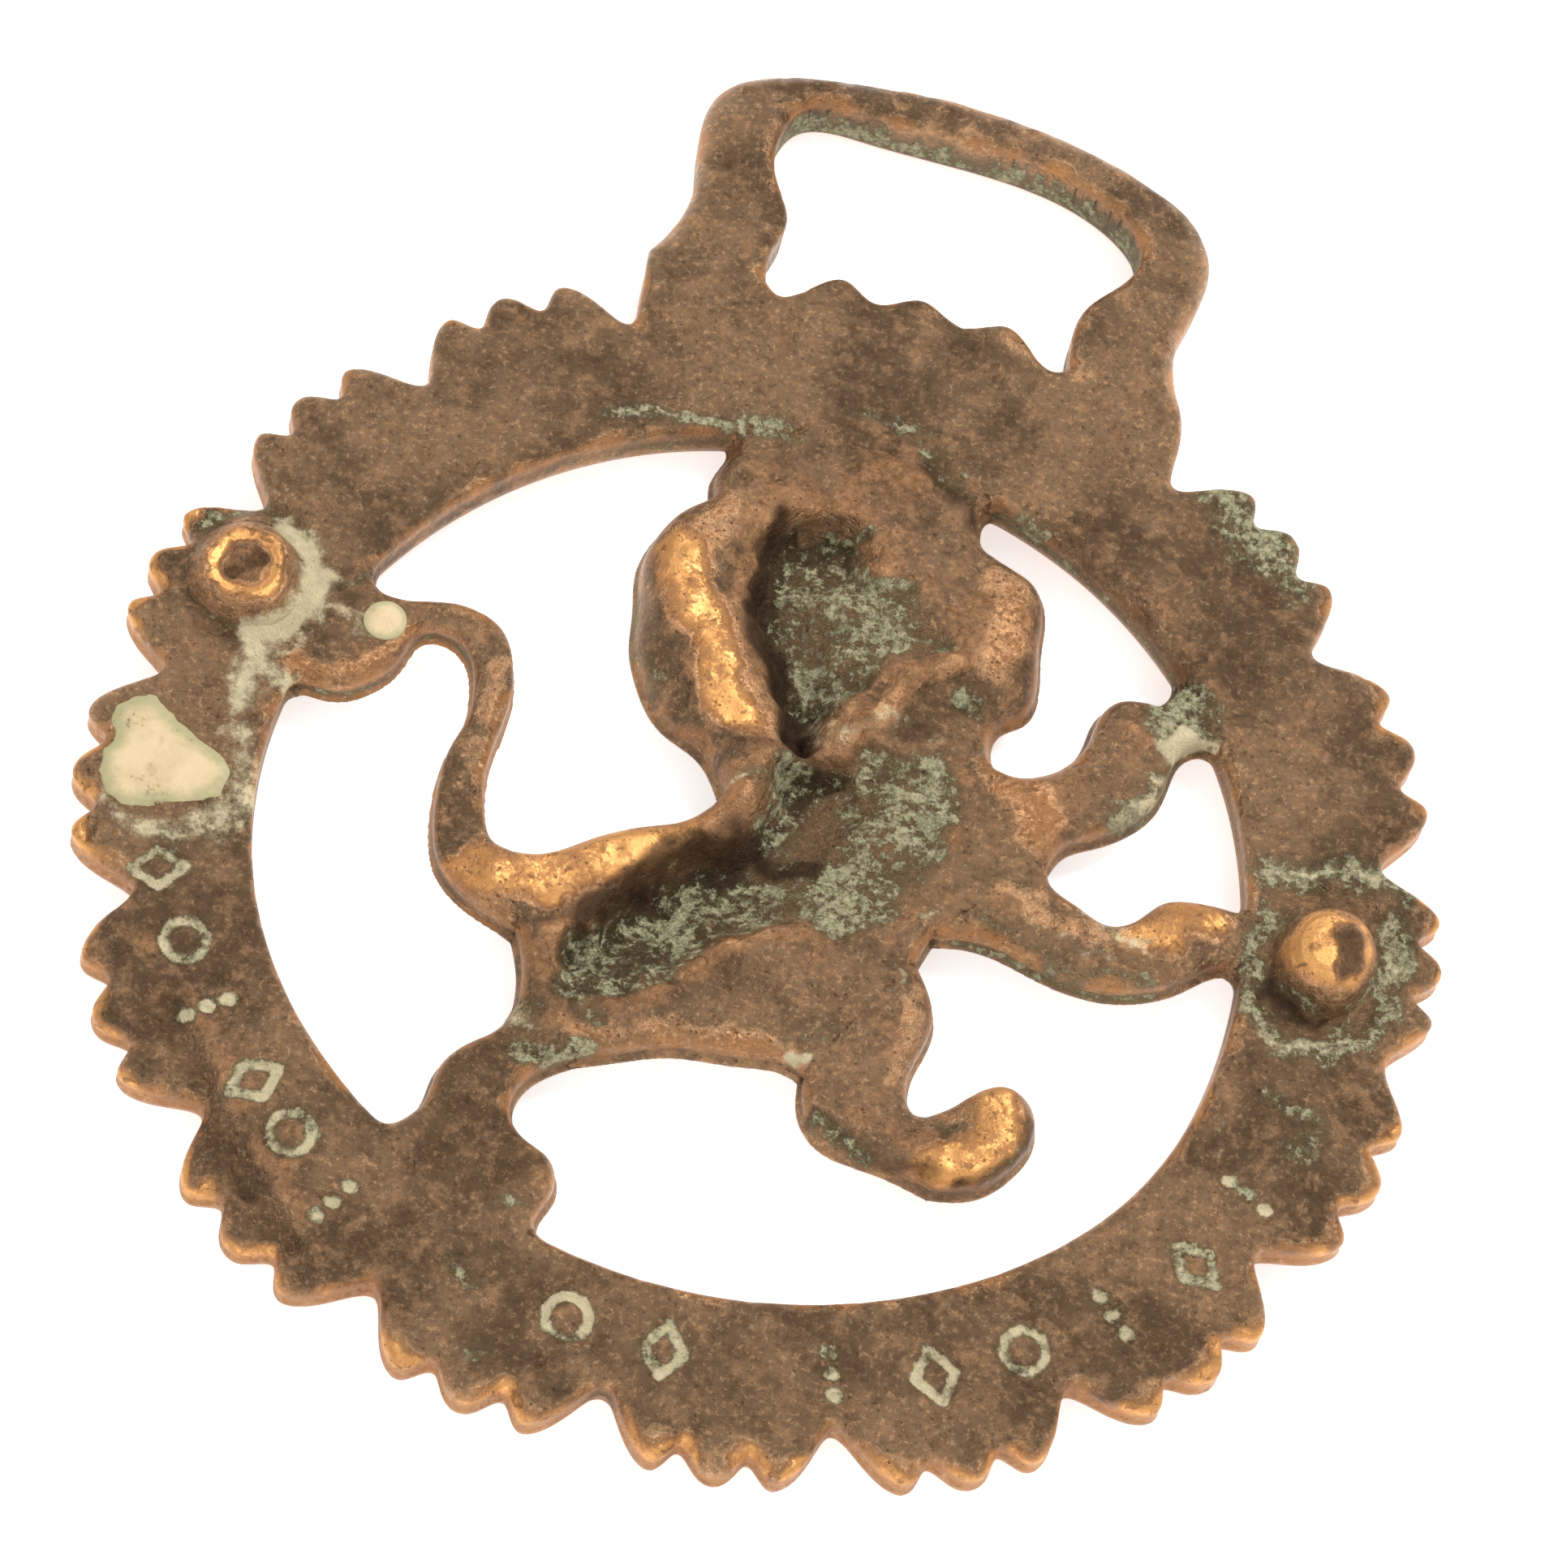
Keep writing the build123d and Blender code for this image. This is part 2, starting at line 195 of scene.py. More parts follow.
def distance(line, reach=BAND):
    """Distance from each grid point to a line of points, up to reach."""
    far = np.full((len(GRID_X), len(GRID_Y)), float(reach))
    for (x0, y0), (x1, y1) in zip(line[:-1], line[1:]):
        dx, dy = x1 - x0, y1 - y0
        if dx * dx + dy * dy < 1e-12:
            continue
        wx = step_window(GRID_X, min(x0, x1) - reach, max(x0, x1) + reach)
        wy = step_window(GRID_Y, min(y0, y1) - reach, max(y0, y1) + reach)
        px, py = GRID_X[wx][:, None] - x0, GRID_Y[wy][None, :] - y0
        t = np.clip((px * dx + py * dy) / (dx * dx + dy * dy), 0, 1)
        np.minimum(far[wx, wy], np.hypot(px - t * dx, py - t * dy), out=far[wx, wy])
    return far


def inside(loop):
    """True at the grid points inside a closed loop."""
    flags = np.zeros((len(GRID_X), len(GRID_Y)), bool)
    for (x0, y0), (x1, y1) in zip(loop, np.roll(loop, -1, axis=0)):
        rows = step_window(GRID_Y, min(y0, y1), max(y0, y1))
        if rows.start < rows.stop and y0 != y1:
            crossing = x0 + (GRID_Y[rows] - y0) * (x1 - x0) / (y1 - y0)
            flags[:, rows] ^= GRID_X[:, None] < crossing[None, :]
    return flags


def signed(loop):
    """Signed distance to a closed loop, negative inside it."""
    away = distance(np.vstack([loop, loop[:1]]))
    return np.where(inside(loop), -away, away)


def ease(value, low, high):
    t = np.clip((value - low) / (high - low), 0, 1)
    return t * t * (3.0 - 2.0 * t)


def stroke(points, width, closed=False):
    """1 along a line through the points, falling smoothly to 0 at width from it."""
    return 1.0 - ease(distance(curve(points, closed), width), 0, width)


def ridge(points, crest, width):
    """1 on a rounded crest along the points, falling smoothly to 0 at width from them."""
    return 1.0 - ease(distance(curve(points), width), crest, width)


def spot(x, y, radius, stretch=1, turn=0):
    """1 at a point, falling smoothly to 0 at radius; stretch lengthens it along the direction turn."""
    c, s = math.cos(math.radians(turn)), math.sin(math.radians(turn))
    along, across = (X - x) * c + (Y - y) * s, (Y - y) * c - (X - x) * s
    return 1.0 - ease(np.hypot(along / stretch, across), 0, radius)


def noise(size, seed):
    """Smooth random heights from -1 to 1, with features about size across."""
    nx = int((GRID_X[-1] - GRID_X[0]) / size) + 3
    ny = int((GRID_Y[-1] - GRID_Y[0]) / size) + 3
    lattice = np.random.default_rng(seed).uniform(-1, 1, (nx, ny))
    fx, fy = (GRID_X - GRID_X[0]) / size, (GRID_Y - GRID_Y[0]) / size
    ix, iy = fx.astype(int), fy.astype(int)
    tx, ty = ease(fx - ix, 0, 1)[:, None], ease(fy - iy, 0, 1)[None, :]
    a, b = lattice[ix][:, iy], lattice[ix + 1][:, iy]
    c, d = lattice[ix][:, iy + 1], lattice[ix + 1][:, iy + 1]
    return (a * (1 - tx) + b * tx) * (1 - ty) + (c * (1 - tx) + d * tx) * ty


def basin(points, slope, seed):
    """1 in a hollow with a slightly ragged rim, rising to the rim over the width of its slope."""
    ragged = signed(curve(points, True)) + 0.4 * noise(1.7, seed) + 0.2 * noise(0.7, seed + 1)
    return ease(-ragged, 0, slope)


def soften(heights, radius):
    """Heights blurred over a radius."""
    fx = np.fft.fftfreq(heights.shape[0], STEP)[:, None]
    fy = np.fft.rfftfreq(heights.shape[1], STEP)[None, :]
    keep = np.exp(-2.0 * (math.pi * radius) ** 2 * (fx**2 + fy**2))
    return np.fft.irfft2(np.fft.rfft2(heights) * keep, heights.shape)


def smooth_min(a, b, radius):
    t = np.clip(0.5 + 0.5 * (b - a) / radius, 0, 1)
    return b * (1 - t) + a * t - radius * t * (1 - t)


# ---- regions: signed distances in plan
def polar(radius, angle):
    return (radius * math.cos(math.radians(angle)), radius * math.sin(math.radians(angle)))


def tip_radius(angle):
    """How far out the scallops' tips reach: less at the bottom, where the ring is pressed flat."""
    return TIP_R - FLAT_DEPTH * np.exp(-(((angle - FLAT_ANGLE) / FLAT_SPREAD) ** 2))


def scalloped_edge():
    def notch(angle):
        depth = SHALLOW_NOTCH_DEPTH if angle == SHALLOW_NOTCH else NOTCH_DEPTH
        return polar(tip_radius(angle) - depth, angle)

    points = [*LEFT_ROOT, notch(NOTCHES[0])]
    for start, end in zip(NOTCHES, NOTCHES[1:]):
        for share, depth in TOOTH_STEPS:
            angle = start + share * (end - start)
            points.append(polar(tip_radius(angle) - depth, angle))
        points.append(notch(end))
    return [*points, *RIGHT_ROOT]


def lion_outline():
    """The lion once round, so that no seam shows in its outline where its regions meet."""
    runs = [
        MANE_EDGE, BACK_EDGE[::-1], TAIL_RIGHT, TAIL_LEFT, RUMP_EDGE[::-1], STANDING_LEG_BACK,
        STANDING_LEG_FRONT, BELLY_EDGE[::-1], RAISED_LEG_SOLE[::-1], RAISED_LEG_FRONT[::-1],
        LOWER_FORELEG_BELOW[::-1], LOWER_FORELEG_TOP[::-1], UPPER_FORELEG_BELOW[::-1],
        UPPER_FORELEG_TOP[::-1], FACE_EDGE,
    ]
    return patch(*runs)


def region_distances():
    return {
        "toothed_ring": np.maximum(signed(patch(scalloped_edge(), SLOT_TEETH)), -hole),
        "strap_hanger": signed(patch(HANGER_EDGE, SLOT_EDGE)),
        "lion_head_and_mane": signed(patch(MANE_EDGE, FACE_EDGE)),
        "lion_torso": signed(patch(BACK_EDGE, [NECK_FRONT, ARMPIT], [CHEST, GROIN], BELLY_EDGE, RUMP_EDGE)),
        "lion_upper_foreleg": signed(patch(UPPER_FORELEG_TOP, UPPER_FORELEG_BELOW)),
        "lion_lower_foreleg": signed(patch(LOWER_FORELEG_TOP, LOWER_FORELEG_BELOW)),
        "lion_raised_hind_leg": signed(patch(RAISED_LEG_FRONT, RAISED_LEG_SOLE)),
        "lion_standing_hind_leg": signed(patch(STANDING_LEG_BACK, STANDING_LEG_FRONT)),
        "lion_tail": signed(patch(TAIL_RIGHT, TAIL_LEFT)),
    }


#            back height, front height, back edge radius, front edge radius
SECTIONS = {
    "toothed_ring": (0, -2.8, 0.5, 0.6),
    "strap_hanger": (0.05, -4, 1.2, 1),
    "lion_head_and_mane": (0.15, -3.9, 1.6, 1.6),
    "lion_torso": (0.2, -3.9, 0.8, 1.6),
    "lion_upper_foreleg": (0.15, -3.3, 0.9, 1.1),
    "lion_lower_foreleg": (0, -3.2, 0.9, 1.1),
    "lion_raised_hind_leg": (0.1, -3.2, 0.9, 1.1),
    "lion_standing_hind_leg": (0.05, -3.3, 0.7, 1.1),
    "lion_tail": (0.1, -2.4, 0.5, 0.7),
}
MERGE = 0.9  # how far the lion's outline blends into the ring's
SLOT_BACK_RADIUS = 0.5


def blended_sections():
    """The four section values over the whole plan, eased from one region to the next."""
    weights = {name: ease(-region, -1, 1.2) + 1e-6 for name, region in REGIONS.items()}
    weights["toothed_ring"] = weights["toothed_ring"] * (1.0 - 0.85 * weights["lion_head_and_mane"])
    total = sum(weights.values())
    high, low, back_radius, front_radius = (
        sum(weights[name] * SECTIONS[name][k] for name in REGIONS) / total for k in range(4)
    )
    slot_near = ease(hanger_slot, 1.8, 0.4)
    back_radius = back_radius * (1 - slot_near) + SLOT_BACK_RADIUS * slot_near
    return high, low, back_radius, front_radius


hole = signed(curve([polar(radius, i * HOLE_STEP) for i, radius in enumerate(HOLE_R)], True))
hanger_slot = signed(patch(SLOT_EDGE, SLOT_TEETH))
ring_and_loop = np.maximum.reduce([signed(patch(scalloped_edge(), HANGER_EDGE)), -hanger_slot, -hole])
lion = signed(lion_outline())
REGIONS = region_distances()
plan = smooth_min(ring_and_loop, lion, MERGE)
metal = plan < 0.6
back, front, back_round, front_round = blended_sections()

# ---- the back's own relief: ridges, hollows, dents and marks
MANE_RIDGE = [(-5.8, 21.6), (-7.8, 19.6), (-8.6, 17), (-8, 14.2), (-6.6, 11.8), (-5.2, 9.4), (-4, 7.2),
              (-2.6, 5)]
BACK_RIDGE = [(-13.6, -6.4), (-11.2, -5.5), (-9, -4.3), (-7, -2.9), (-5, -1.3), (-3.2, 0.3), (-2.2, 2.4)]
FOOT_RIDGE = [(15.4, -10.9), (16.2, -12.7), (15.5, -14.7), (13.9, -16), (11.8, -15.6)]
FOOT_HOLLOW = [(6.6, -15), (8.6, -15.7), (11.2, -16.3)]
HEAD_HOLLOW = [
    (-5.2, 18.8), (-4.4, 20.8), (-2.4, 22), (0, 22.4), (1.1, 21.6), (1.5, 19.9), (2.6, 19.2), (3.3, 21),
    (4.1, 20), (5.4, 17.8), (6.6, 16.2), (7.4, 14.6), (5.7, 14.3), (4.2, 13), (3.2, 11), (2, 9.2),
    (1.4, 7.4), (0.8, 5.8), (-0.8, 6.2), (-2, 8.6), (-3.6, 11), (-4.8, 13.4), (-5.4, 16.2),
]
BODY_HOLLOW = [
    (-1.4, 4.6), (-0.2, 6), (2, 6.4), (3.8, 7.1), (5.4, 8.3), (7.2, 8.9), (9, 8.3), (10.4, 6.8), (10.8, 4.6),
    (10.3, 2), (9.6, -0.6), (8.2, -2.8), (6, -4.3), (3, -5), (0.6, -5.8), (-0.6, -7.2), (-1.3, -9.4),
    (-3.4, -10), (-4.4, -11.4), (-6.6, -12.9), (-8.8, -12.8), (-9.9, -11), (-10, -8.8), (-8.4, -6.9),
    (-7, -4.6), (-5.2, -2.2), (-2.8, -0.4), (-1.5, 1.6),
]
CREASE = [(-28.6, -18.6), (-26.6, -21), (-24.2, -24.2), (-21.4, -27.4), (-18.2, -29.9)]
BENT_PART = [(-29, -18), (-24, -23.6), (-18, -29.6), (-14, -40), (-45, -40), (-45, -18)]
CROWN_EDGE = [(-5.2, 24.6), (-4.9, 27.2), (-2.6, 28.7), (0.6, 29), (3, 27.4), (4.6, 25.6), (6.4, 24.2)]
RIGHT_LUG_GROOVE = [(28, 5.2), (27.6, 1.4), (29.6, -1.2), (33, -0.9), (35, 2.4), (33.6, 6), (30.8, 6.8)]
RIDGES = (  # points, half width of the crest, half width, height
    (MANE_RIDGE, 0.9, 4, 0.75), (BACK_RIDGE, 0.5, 3, 0.6), (FOOT_RIDGE, 0.6, 2.6, 0.5),
    ([(2.4, 7.6), (4.4, 10), (5.4, 12.8), (7, 14.2)], 0.2, 1.3, 0.45),
)
FURROWS = (  # points, half width, depth
    (FOOT_HOLLOW, 1.2, 0.7), (CROWN_EDGE[3:], 1.2, 0.3), (CROWN_EDGE[:4], 1.2, 0.12), (CREASE, 1.2, 0.36),
    ([(-17.4, -29.2), (-13, -28.9), (-8.6, -29.3)], 0.8, 0.15),
    ([(-28.4, 8.4), (-30, 11.2), (-33, 11.6), (-36, 9)], 1, 0.32),
    ([(-28.6, 6.2), (-30.4, 4), (-33.4, 3.6)], 0.9, 0.32),
)
LUMPS = (  # x, y, radius, stretch, turn, height
    (-4.6, 9, 2.6, 1.6, -55, 0.2), (-2, -5.1, 1, 1, 0, 0.55), (-2.4, -8.3, 1.5, 1, 0, 0.55),
    (4.2, 5.2, 1.3, 1, 0, 0.55), (9.4, 3.2, 1.2, 1, 0, 0.55), (8.6, 12, 1.3, 1.3, 0, -0.7),
    (6.6, 9.8, 1, 1.6, 40, -0.35), (8.4, 17.4, 3.4, 1, 0, 0.3), (1, 25, 3.4, 1.5, 0, 0.25),
    (-6.6, 25.8, 1, 1.6, 0, -0.3), (8.2, 24.7, 0.7, 2.2, -10, -0.3), (-5.2, 22.6, 0.7, 1, 0, -0.3),
    (13.4, 6.8, 3, 1.2, 30, 0.45), (18, 13.4, 2.4, 1.3, 70, 0.3), (23.4, 2.3, 2.2, 1.3, 0, 0.5),
    (20, 0.7, 2, 1.5, 0, -0.25), (15, 0.2, 3, 1.6, 0, 0.3), (-6.9, -22.8, 1.9, 1, 0, 0.4),
    (8.2, -8.6, 3, 1.4, 80, 0.3), (-9, -15.6, 1.4, 1.6, 25, -0.55),
)
MARK_WIDTH = 0.55
MARK_DEPTH = 0.28
LOZENGE, RING, DOTS = range(3)
MARKS = (
    (-31.2, -11.6, LOZENGE), (-28.6, -15.2, RING), (-26.3, -18.6, DOTS), (-22.7, -22, LOZENGE),
    (-20, -24.3, RING), (-16.8, -27.3, DOTS), (-3.4, -29.9, RING), (1.9, -30.2, LOZENGE), (10.6, -28.9, DOTS),
    (15.9, -27.4, LOZENGE), (20.1, -24.6, RING), (24.2, -21.3, DOTS), (27.9, -17.2, LOZENGE),
    (29.8, -12.4, DOTS),
)


def hollow_depths():
    """The head's and the body's hollows are deepest beside the mane and the spine."""
    from_mane = distance(curve(MANE_RIDGE), 12)
    from_spine = distance(curve([*BACK_RIDGE, (-1.6, 5)]), 14)
    head_depth = 2.5 * head_hollow * (1.0 - 0.7 * ease(from_mane, 3, 10))
    body_depth = 2.4 * body_hollow * (1.0 - 0.9 * ease(from_spine, 2.5, 9))
    lumps = 0.55 * (spot(-0.6, 17, 2.4) + spot(1.4, 13.4, 2) + spot(3.6, 16.4, 1.8))
    return np.maximum(head_depth, body_depth) - lumps * head_hollow


def back_relief():
    """Ridges, furrows and lumps, the bent part at the lower left and the tail's raised tuft."""
    relief = sum(height * ridge(points, crest, width) for points, crest, width, height in RIDGES)
    relief -= sum(depth * stroke(points, width) for points, width, depth in FURROWS)
    relief += sum(height * spot(*place) for *place, height in LUMPS)
    relief -= 0.3 * ease(signed(curve(BENT_PART, True)), 0.6, -1)
    relief -= 0.38 * stroke(RIGHT_LUG_GROOVE, 1.1, closed=True)
    relief -= 0.45 * sloping_rim
    tuft = signed(patch(TAIL_RIGHT[8:], TAIL_LEFT[:6]))
    return relief + 0.28 * ease(-tuft, 0, 0.7)


def cast_texture():
    """The uneven skin that the mould left, roughest on the lion and in its hollows."""
    inset = 0.5 + 0.5 * ease(-plan, 0.2, 1)
    skin = inset * (0.12 * noise(6, 1) + 0.09 * noise(2.2, 2) + 0.06 * noise(0.9, 3))
    skin -= inset * 0.16 * ease(noise(0.95, 71), 0.5, 0.85)
    skin += ease(-lion, 0.2, 1.2) * (0.15 * noise(1.8, 5) + 0.1 * noise(0.8, 6))
    skin += 0.3 * spot(1.6, 7.4, 3, 1.5) * noise(1, 72)
    return skin + np.maximum(head_hollow, body_hollow) * (0.16 * noise(1.3, 7) + 0.09 * noise(0.6, 4))


def mark(x, y, kind):
    """One small sunk mark, turned to face the ring's centre."""
    turn = math.atan2(y, x) + math.pi / 2
    c, s = math.cos(turn), math.sin(turn)

    def put(u, v):
        return (x + u * c - v * s, y + u * s + v * c)

    if kind == LOZENGE:
        corners = [put(-1.1, 0), put(0, 1.5), put(1.1, 0), put(0, -1.5)]
        sides = zip(corners, corners[1:] + corners[:1])
        return np.maximum.reduce([stroke([*side], MARK_WIDTH) for side in sides])
    if kind == RING:
        turns = np.linspace(0, 2 * math.pi, 9)[:-1]
        return stroke([put(1.15 * math.cos(t), 1.15 * math.sin(t)) for t in turns], MARK_WIDTH, closed=True)
    return np.maximum.reduce([spot(*put(0, v), 0.75, 1.2) for v in (-1.2, 0, 1.2)])


head_hollow = basin(HEAD_HOLLOW, 1.5, 41)
body_hollow = basin(BODY_HOLLOW, 1.8, 51)
inner_edge = ease(hole, 1.3, 0) * ease(RADIUS, 24, 25)
sloping_rim = inner_edge * ease(ANGLE, 20, 40) * ease(ANGLE, 80, 60)
sunk_marks = np.maximum.reduce([mark(*place_and_kind) for place_and_kind in MARKS])
back += back_relief() - hollow_depths() + cast_texture()
back -= MARK_DEPTH * sunk_marks * (0.75 + 0.25 * noise(1.3, 9))
spot_seat = 1.0 - ease(np.hypot(X - SPOT_AT[0], Y - SPOT_AT[1]), 1.3, 2.2)
SEAT_LEVEL = 0.36
back = back * (1 - spot_seat) + SEAT_LEVEL * spot_seat

# ---- the front's relief, which lies downwards
FACE_AT = (5.4, 16.6)
MANE_LOCKS = 15
FRONT_LINES = (  # points, half width, depth
    ([(4, 22.4), (1.4, 20), (0.6, 16.4), (1.6, 13), (4.4, 10.8)], 0.9, 0.6),
    ([(12.4, 15), (10, 14.2), (8, 14.6)], 0.5, 0.7), ([(7, 18.4), (8.4, 18.6)], 0.7, 0.6),
    ([(10.9, 17.2), (11.4, 17.6)], 0.5, 0.5), ([(2.6, 21.4), (4, 20)], 0.7, 0.5),
    ([(3.6, 6.4), (2.2, 3), (3.6, -0.6), (7.4, -2.4)], 1, 0.5),
    ([(10.8, 7.6), (9.4, 3.6), (10.2, -0.8)], 0.9, 0.4),
    ([(0.6, -3.4), (-1.6, -6.6), (-0.8, -10.4)], 1, 0.5), ([(-8.4, -4.4), (-6, -8), (-7, -12.6)], 1, 0.4),
    ([(0.4, 1.4), (0, -1.6)], 0.6, 0.35), ([(-1.6, 0.8), (-1.8, -2.2)], 0.6, 0.35),
    ([(-3.4, -0.4), (-3.6, -3.2)], 0.6, 0.35), ([(15.6, -11.4), (17.4, -12.6)], 0.5, 0.45),
    ([(15.4, -13.2), (17.2, -14.4)], 0.5, 0.45), ([(23.2, 3.6), (25.6, 1.6)], 0.5, 0.45),
    ([(21.2, 2.8), (23, 0)], 0.5, 0.45), ([(-13, -20.8), (-8, -23.8)], 0.8, 0.4),
)
BEAD_RING_R, BEAD_PITCH = 31, 5.0


def mane_lock(k):
    """One groove of the mane, from near the face outwards."""
    turn = math.radians(100 + 12 * k)
    near, far = 4.6 + 0.5 * (k % 2), 11.0
    points = []
    for r in (near, (near + far) / 2, far):
        angle = turn + 0.03 * (r - near)
        points.append((FACE_AT[0] + r * math.cos(angle), FACE_AT[1] + r * math.sin(angle)))
    return stroke(points, 0.7)


def front_relief():
    """A domed lion with mane and lines, and beads between two raised lines round the ring."""
    relief = 0.55 * ease(lion, -2.6, -0.2) * ease(-lion, -0.6, 0.4)
    relief += 0.55 * sum(mane_lock(k) for k in range(MANE_LOCKS))
    relief += sum(depth * stroke(points, width) for points, width, depth in FRONT_LINES)
    below_hanger = ease(36.0 - Y, 0, 2)
    for radius in (29.4, 32.6):
        relief -= 0.3 * ease(np.abs(RADIUS - radius), 0.7, 0.1) * below_hanger
    half = BEAD_PITCH / 2
    along = BEAD_RING_R * np.radians((ANGLE + half) % BEAD_PITCH - half)
    beads = ease(np.hypot(RADIUS - BEAD_RING_R, along), 1, 0.2)
    return relief - 0.35 * beads * below_hanger * ease(hole, 0.4, 1.2)


front += front_relief()
front_groove = ease(front - soften(front, 1.2), 0.04, 0.3)

# ---- the solid field and its surface
FLASH_LEVEL = -1.8  # height of the line where the mould's halves met
flash_out = 0.2 * ease(-lion, -1.2, -0.2) + 0.1 * ease(36.0 - Y, 0, 3)


def solid_field(window):
    """Distance-like field of the casting over part of the grid: negative inside the metal."""
    z = GRID_Z[None, None, :]

    def cut(values):
        return values[window][:, :, None].astype(np.float32)

    side = cut(plan) - cut(flash_out) * np.exp(-(((z - FLASH_LEVEL) / 0.3) ** 2))
    side = side + 0.03 * np.clip(-z, 0, 3)

    def rounded(level, radius):
        a, b = side + radius, level + radius
        outside = np.hypot(np.maximum(a, 0), np.maximum(b, 0))
        return np.minimum(np.maximum(a, b), 0) + outside - radius

    return np.maximum(rounded(z - cut(back), cut(back_round)), rounded(cut(front) - z, cut(front_round)))


def surface_net(field, origin, step):
    """Vertices and quads where the field crosses zero, with one vertex in each cell that it crosses."""
    negative = field < 0
    shape = np.array(field.shape) - 1

    def corner(a, c):
        return a[tuple(slice(c[k], c[k] + shape[k]) for k in range(3))]

    corners = [(i, j, k) for i in (0, 1) for j in (0, 1) for k in (0, 1)]
    count = sum(corner(negative, c).astype(np.uint8) for c in corners)
    cells = np.argwhere((count > 0) & (count < 8))
    index = np.full(shape, -1, np.int32)
    index[tuple(cells.T)] = np.arange(len(cells))
    total, number = np.zeros((len(cells), 3)), np.zeros(len(cells))
    unit = np.eye(3, dtype=int)
    for axis in range(3):
        u, v = unit[(axis + 1) % 3], unit[(axis + 2) % 3]
        for start in (0 * u, u, v, u + v):
            a = cells + start
            b = a + unit[axis]
            fa, fb = field[tuple(a.T)], field[tuple(b.T)]
            crossed = (fa < 0) != (fb < 0)
            share = fa[crossed] / (fa[crossed] - fb[crossed])
            total[crossed] += a[crossed] + share[:, None] * unit[axis]
            number[crossed] += 1
    quads = []
    for axis in range(3):
        others = [(axis + 1) % 3, (axis + 2) % 3]
        u, v = unit[others]
        at = np.argwhere(np.diff(negative, axis=axis))
        at = at[((at[:, others] > 0) & (at[:, others] < shape[others])).all(axis=1)]
        ring = np.stack([index[tuple((at - d).T)] for d in (0 * u, u, u + v, v)], axis=1)
        outward = negative[tuple(at.T)]
        ring[~outward] = ring[~outward][:, ::-1]
        quads.append(ring)
    return total / number[:, None] * step + np.array(origin), np.vstack(quads)


def new_mesh(name, vertices, quads):
    """An object from vertices in millimetres about the ring's centre and faces of four corners."""
    mesh = bpy.data.meshes.new(name)
    mesh.vertices.add(len(vertices))
    mesh.vertices.foreach_set("co", (vertices * MM + PLACE).astype(np.float32).ravel())
    mesh.loops.add(quads.size)
    mesh.loops.foreach_set("vertex_index", quads.astype(np.int32).ravel())
    mesh.polygons.add(len(quads))
    mesh.polygons.foreach_set("loop_start", np.arange(0, quads.size, 4, dtype=np.int32))
    mesh.update(calc_edges=True)
    mesh.validate()
    mesh.shade_smooth()
    piece = bpy.data.objects.new(name, mesh)
    bpy.context.scene.collection.objects.link(piece)
    return piece


def weld(piece):
    """Joins points at the same place, so that no face is left without an area."""
    mesh = bmesh.new()
    mesh.from_mesh(piece.data)
    bmesh.ops.remove_doubles(mesh, verts=mesh.verts, dist=1e-6)
    mesh.to_mesh(piece.data)
    mesh.free()


def plan_points(piece):
    """Where a piece's points lie, in millimetres about the ring's centre."""
    co = np.zeros(len(piece.data.vertices) * 3, np.float32)
    piece.data.vertices.foreach_get("co", co)
    return ((co.reshape(-1, 3) - PLACE) / MM).T


def thin_out(piece, share):
    """Joins faces where the surface is nearly flat, down to a share of them."""
    modifier = piece.modifiers.new("thin", "DECIMATE")
    modifier.ratio = share
    graph = bpy.context.evaluated_depsgraph_get()
    mesh = bpy.data.meshes.new_from_object(piece.evaluated_get(graph))
    piece.modifiers.clear()
    old, piece.data = piece.data, mesh
    bpy.data.meshes.remove(old)
    mesh.shade_smooth()


def sample(values, x, y):
    """Grid values at plan points."""
    fx, fy = (x - GRID_X[0]) / STEP, (y - GRID_Y[0]) / STEP
    ix = np.clip(fx.astype(int), 0, len(GRID_X) - 2)
    iy = np.clip(fy.astype(int), 0, len(GRID_Y) - 2)
    tx, ty = np.clip(fx - ix, 0, 1), np.clip(fy - iy, 0, 1)
    top = values[ix, iy] * (1 - tx) + values[ix + 1, iy] * tx
    return top * (1 - ty) + (values[ix, iy + 1] * (1 - tx) + values[ix + 1, iy + 1] * tx) * ty


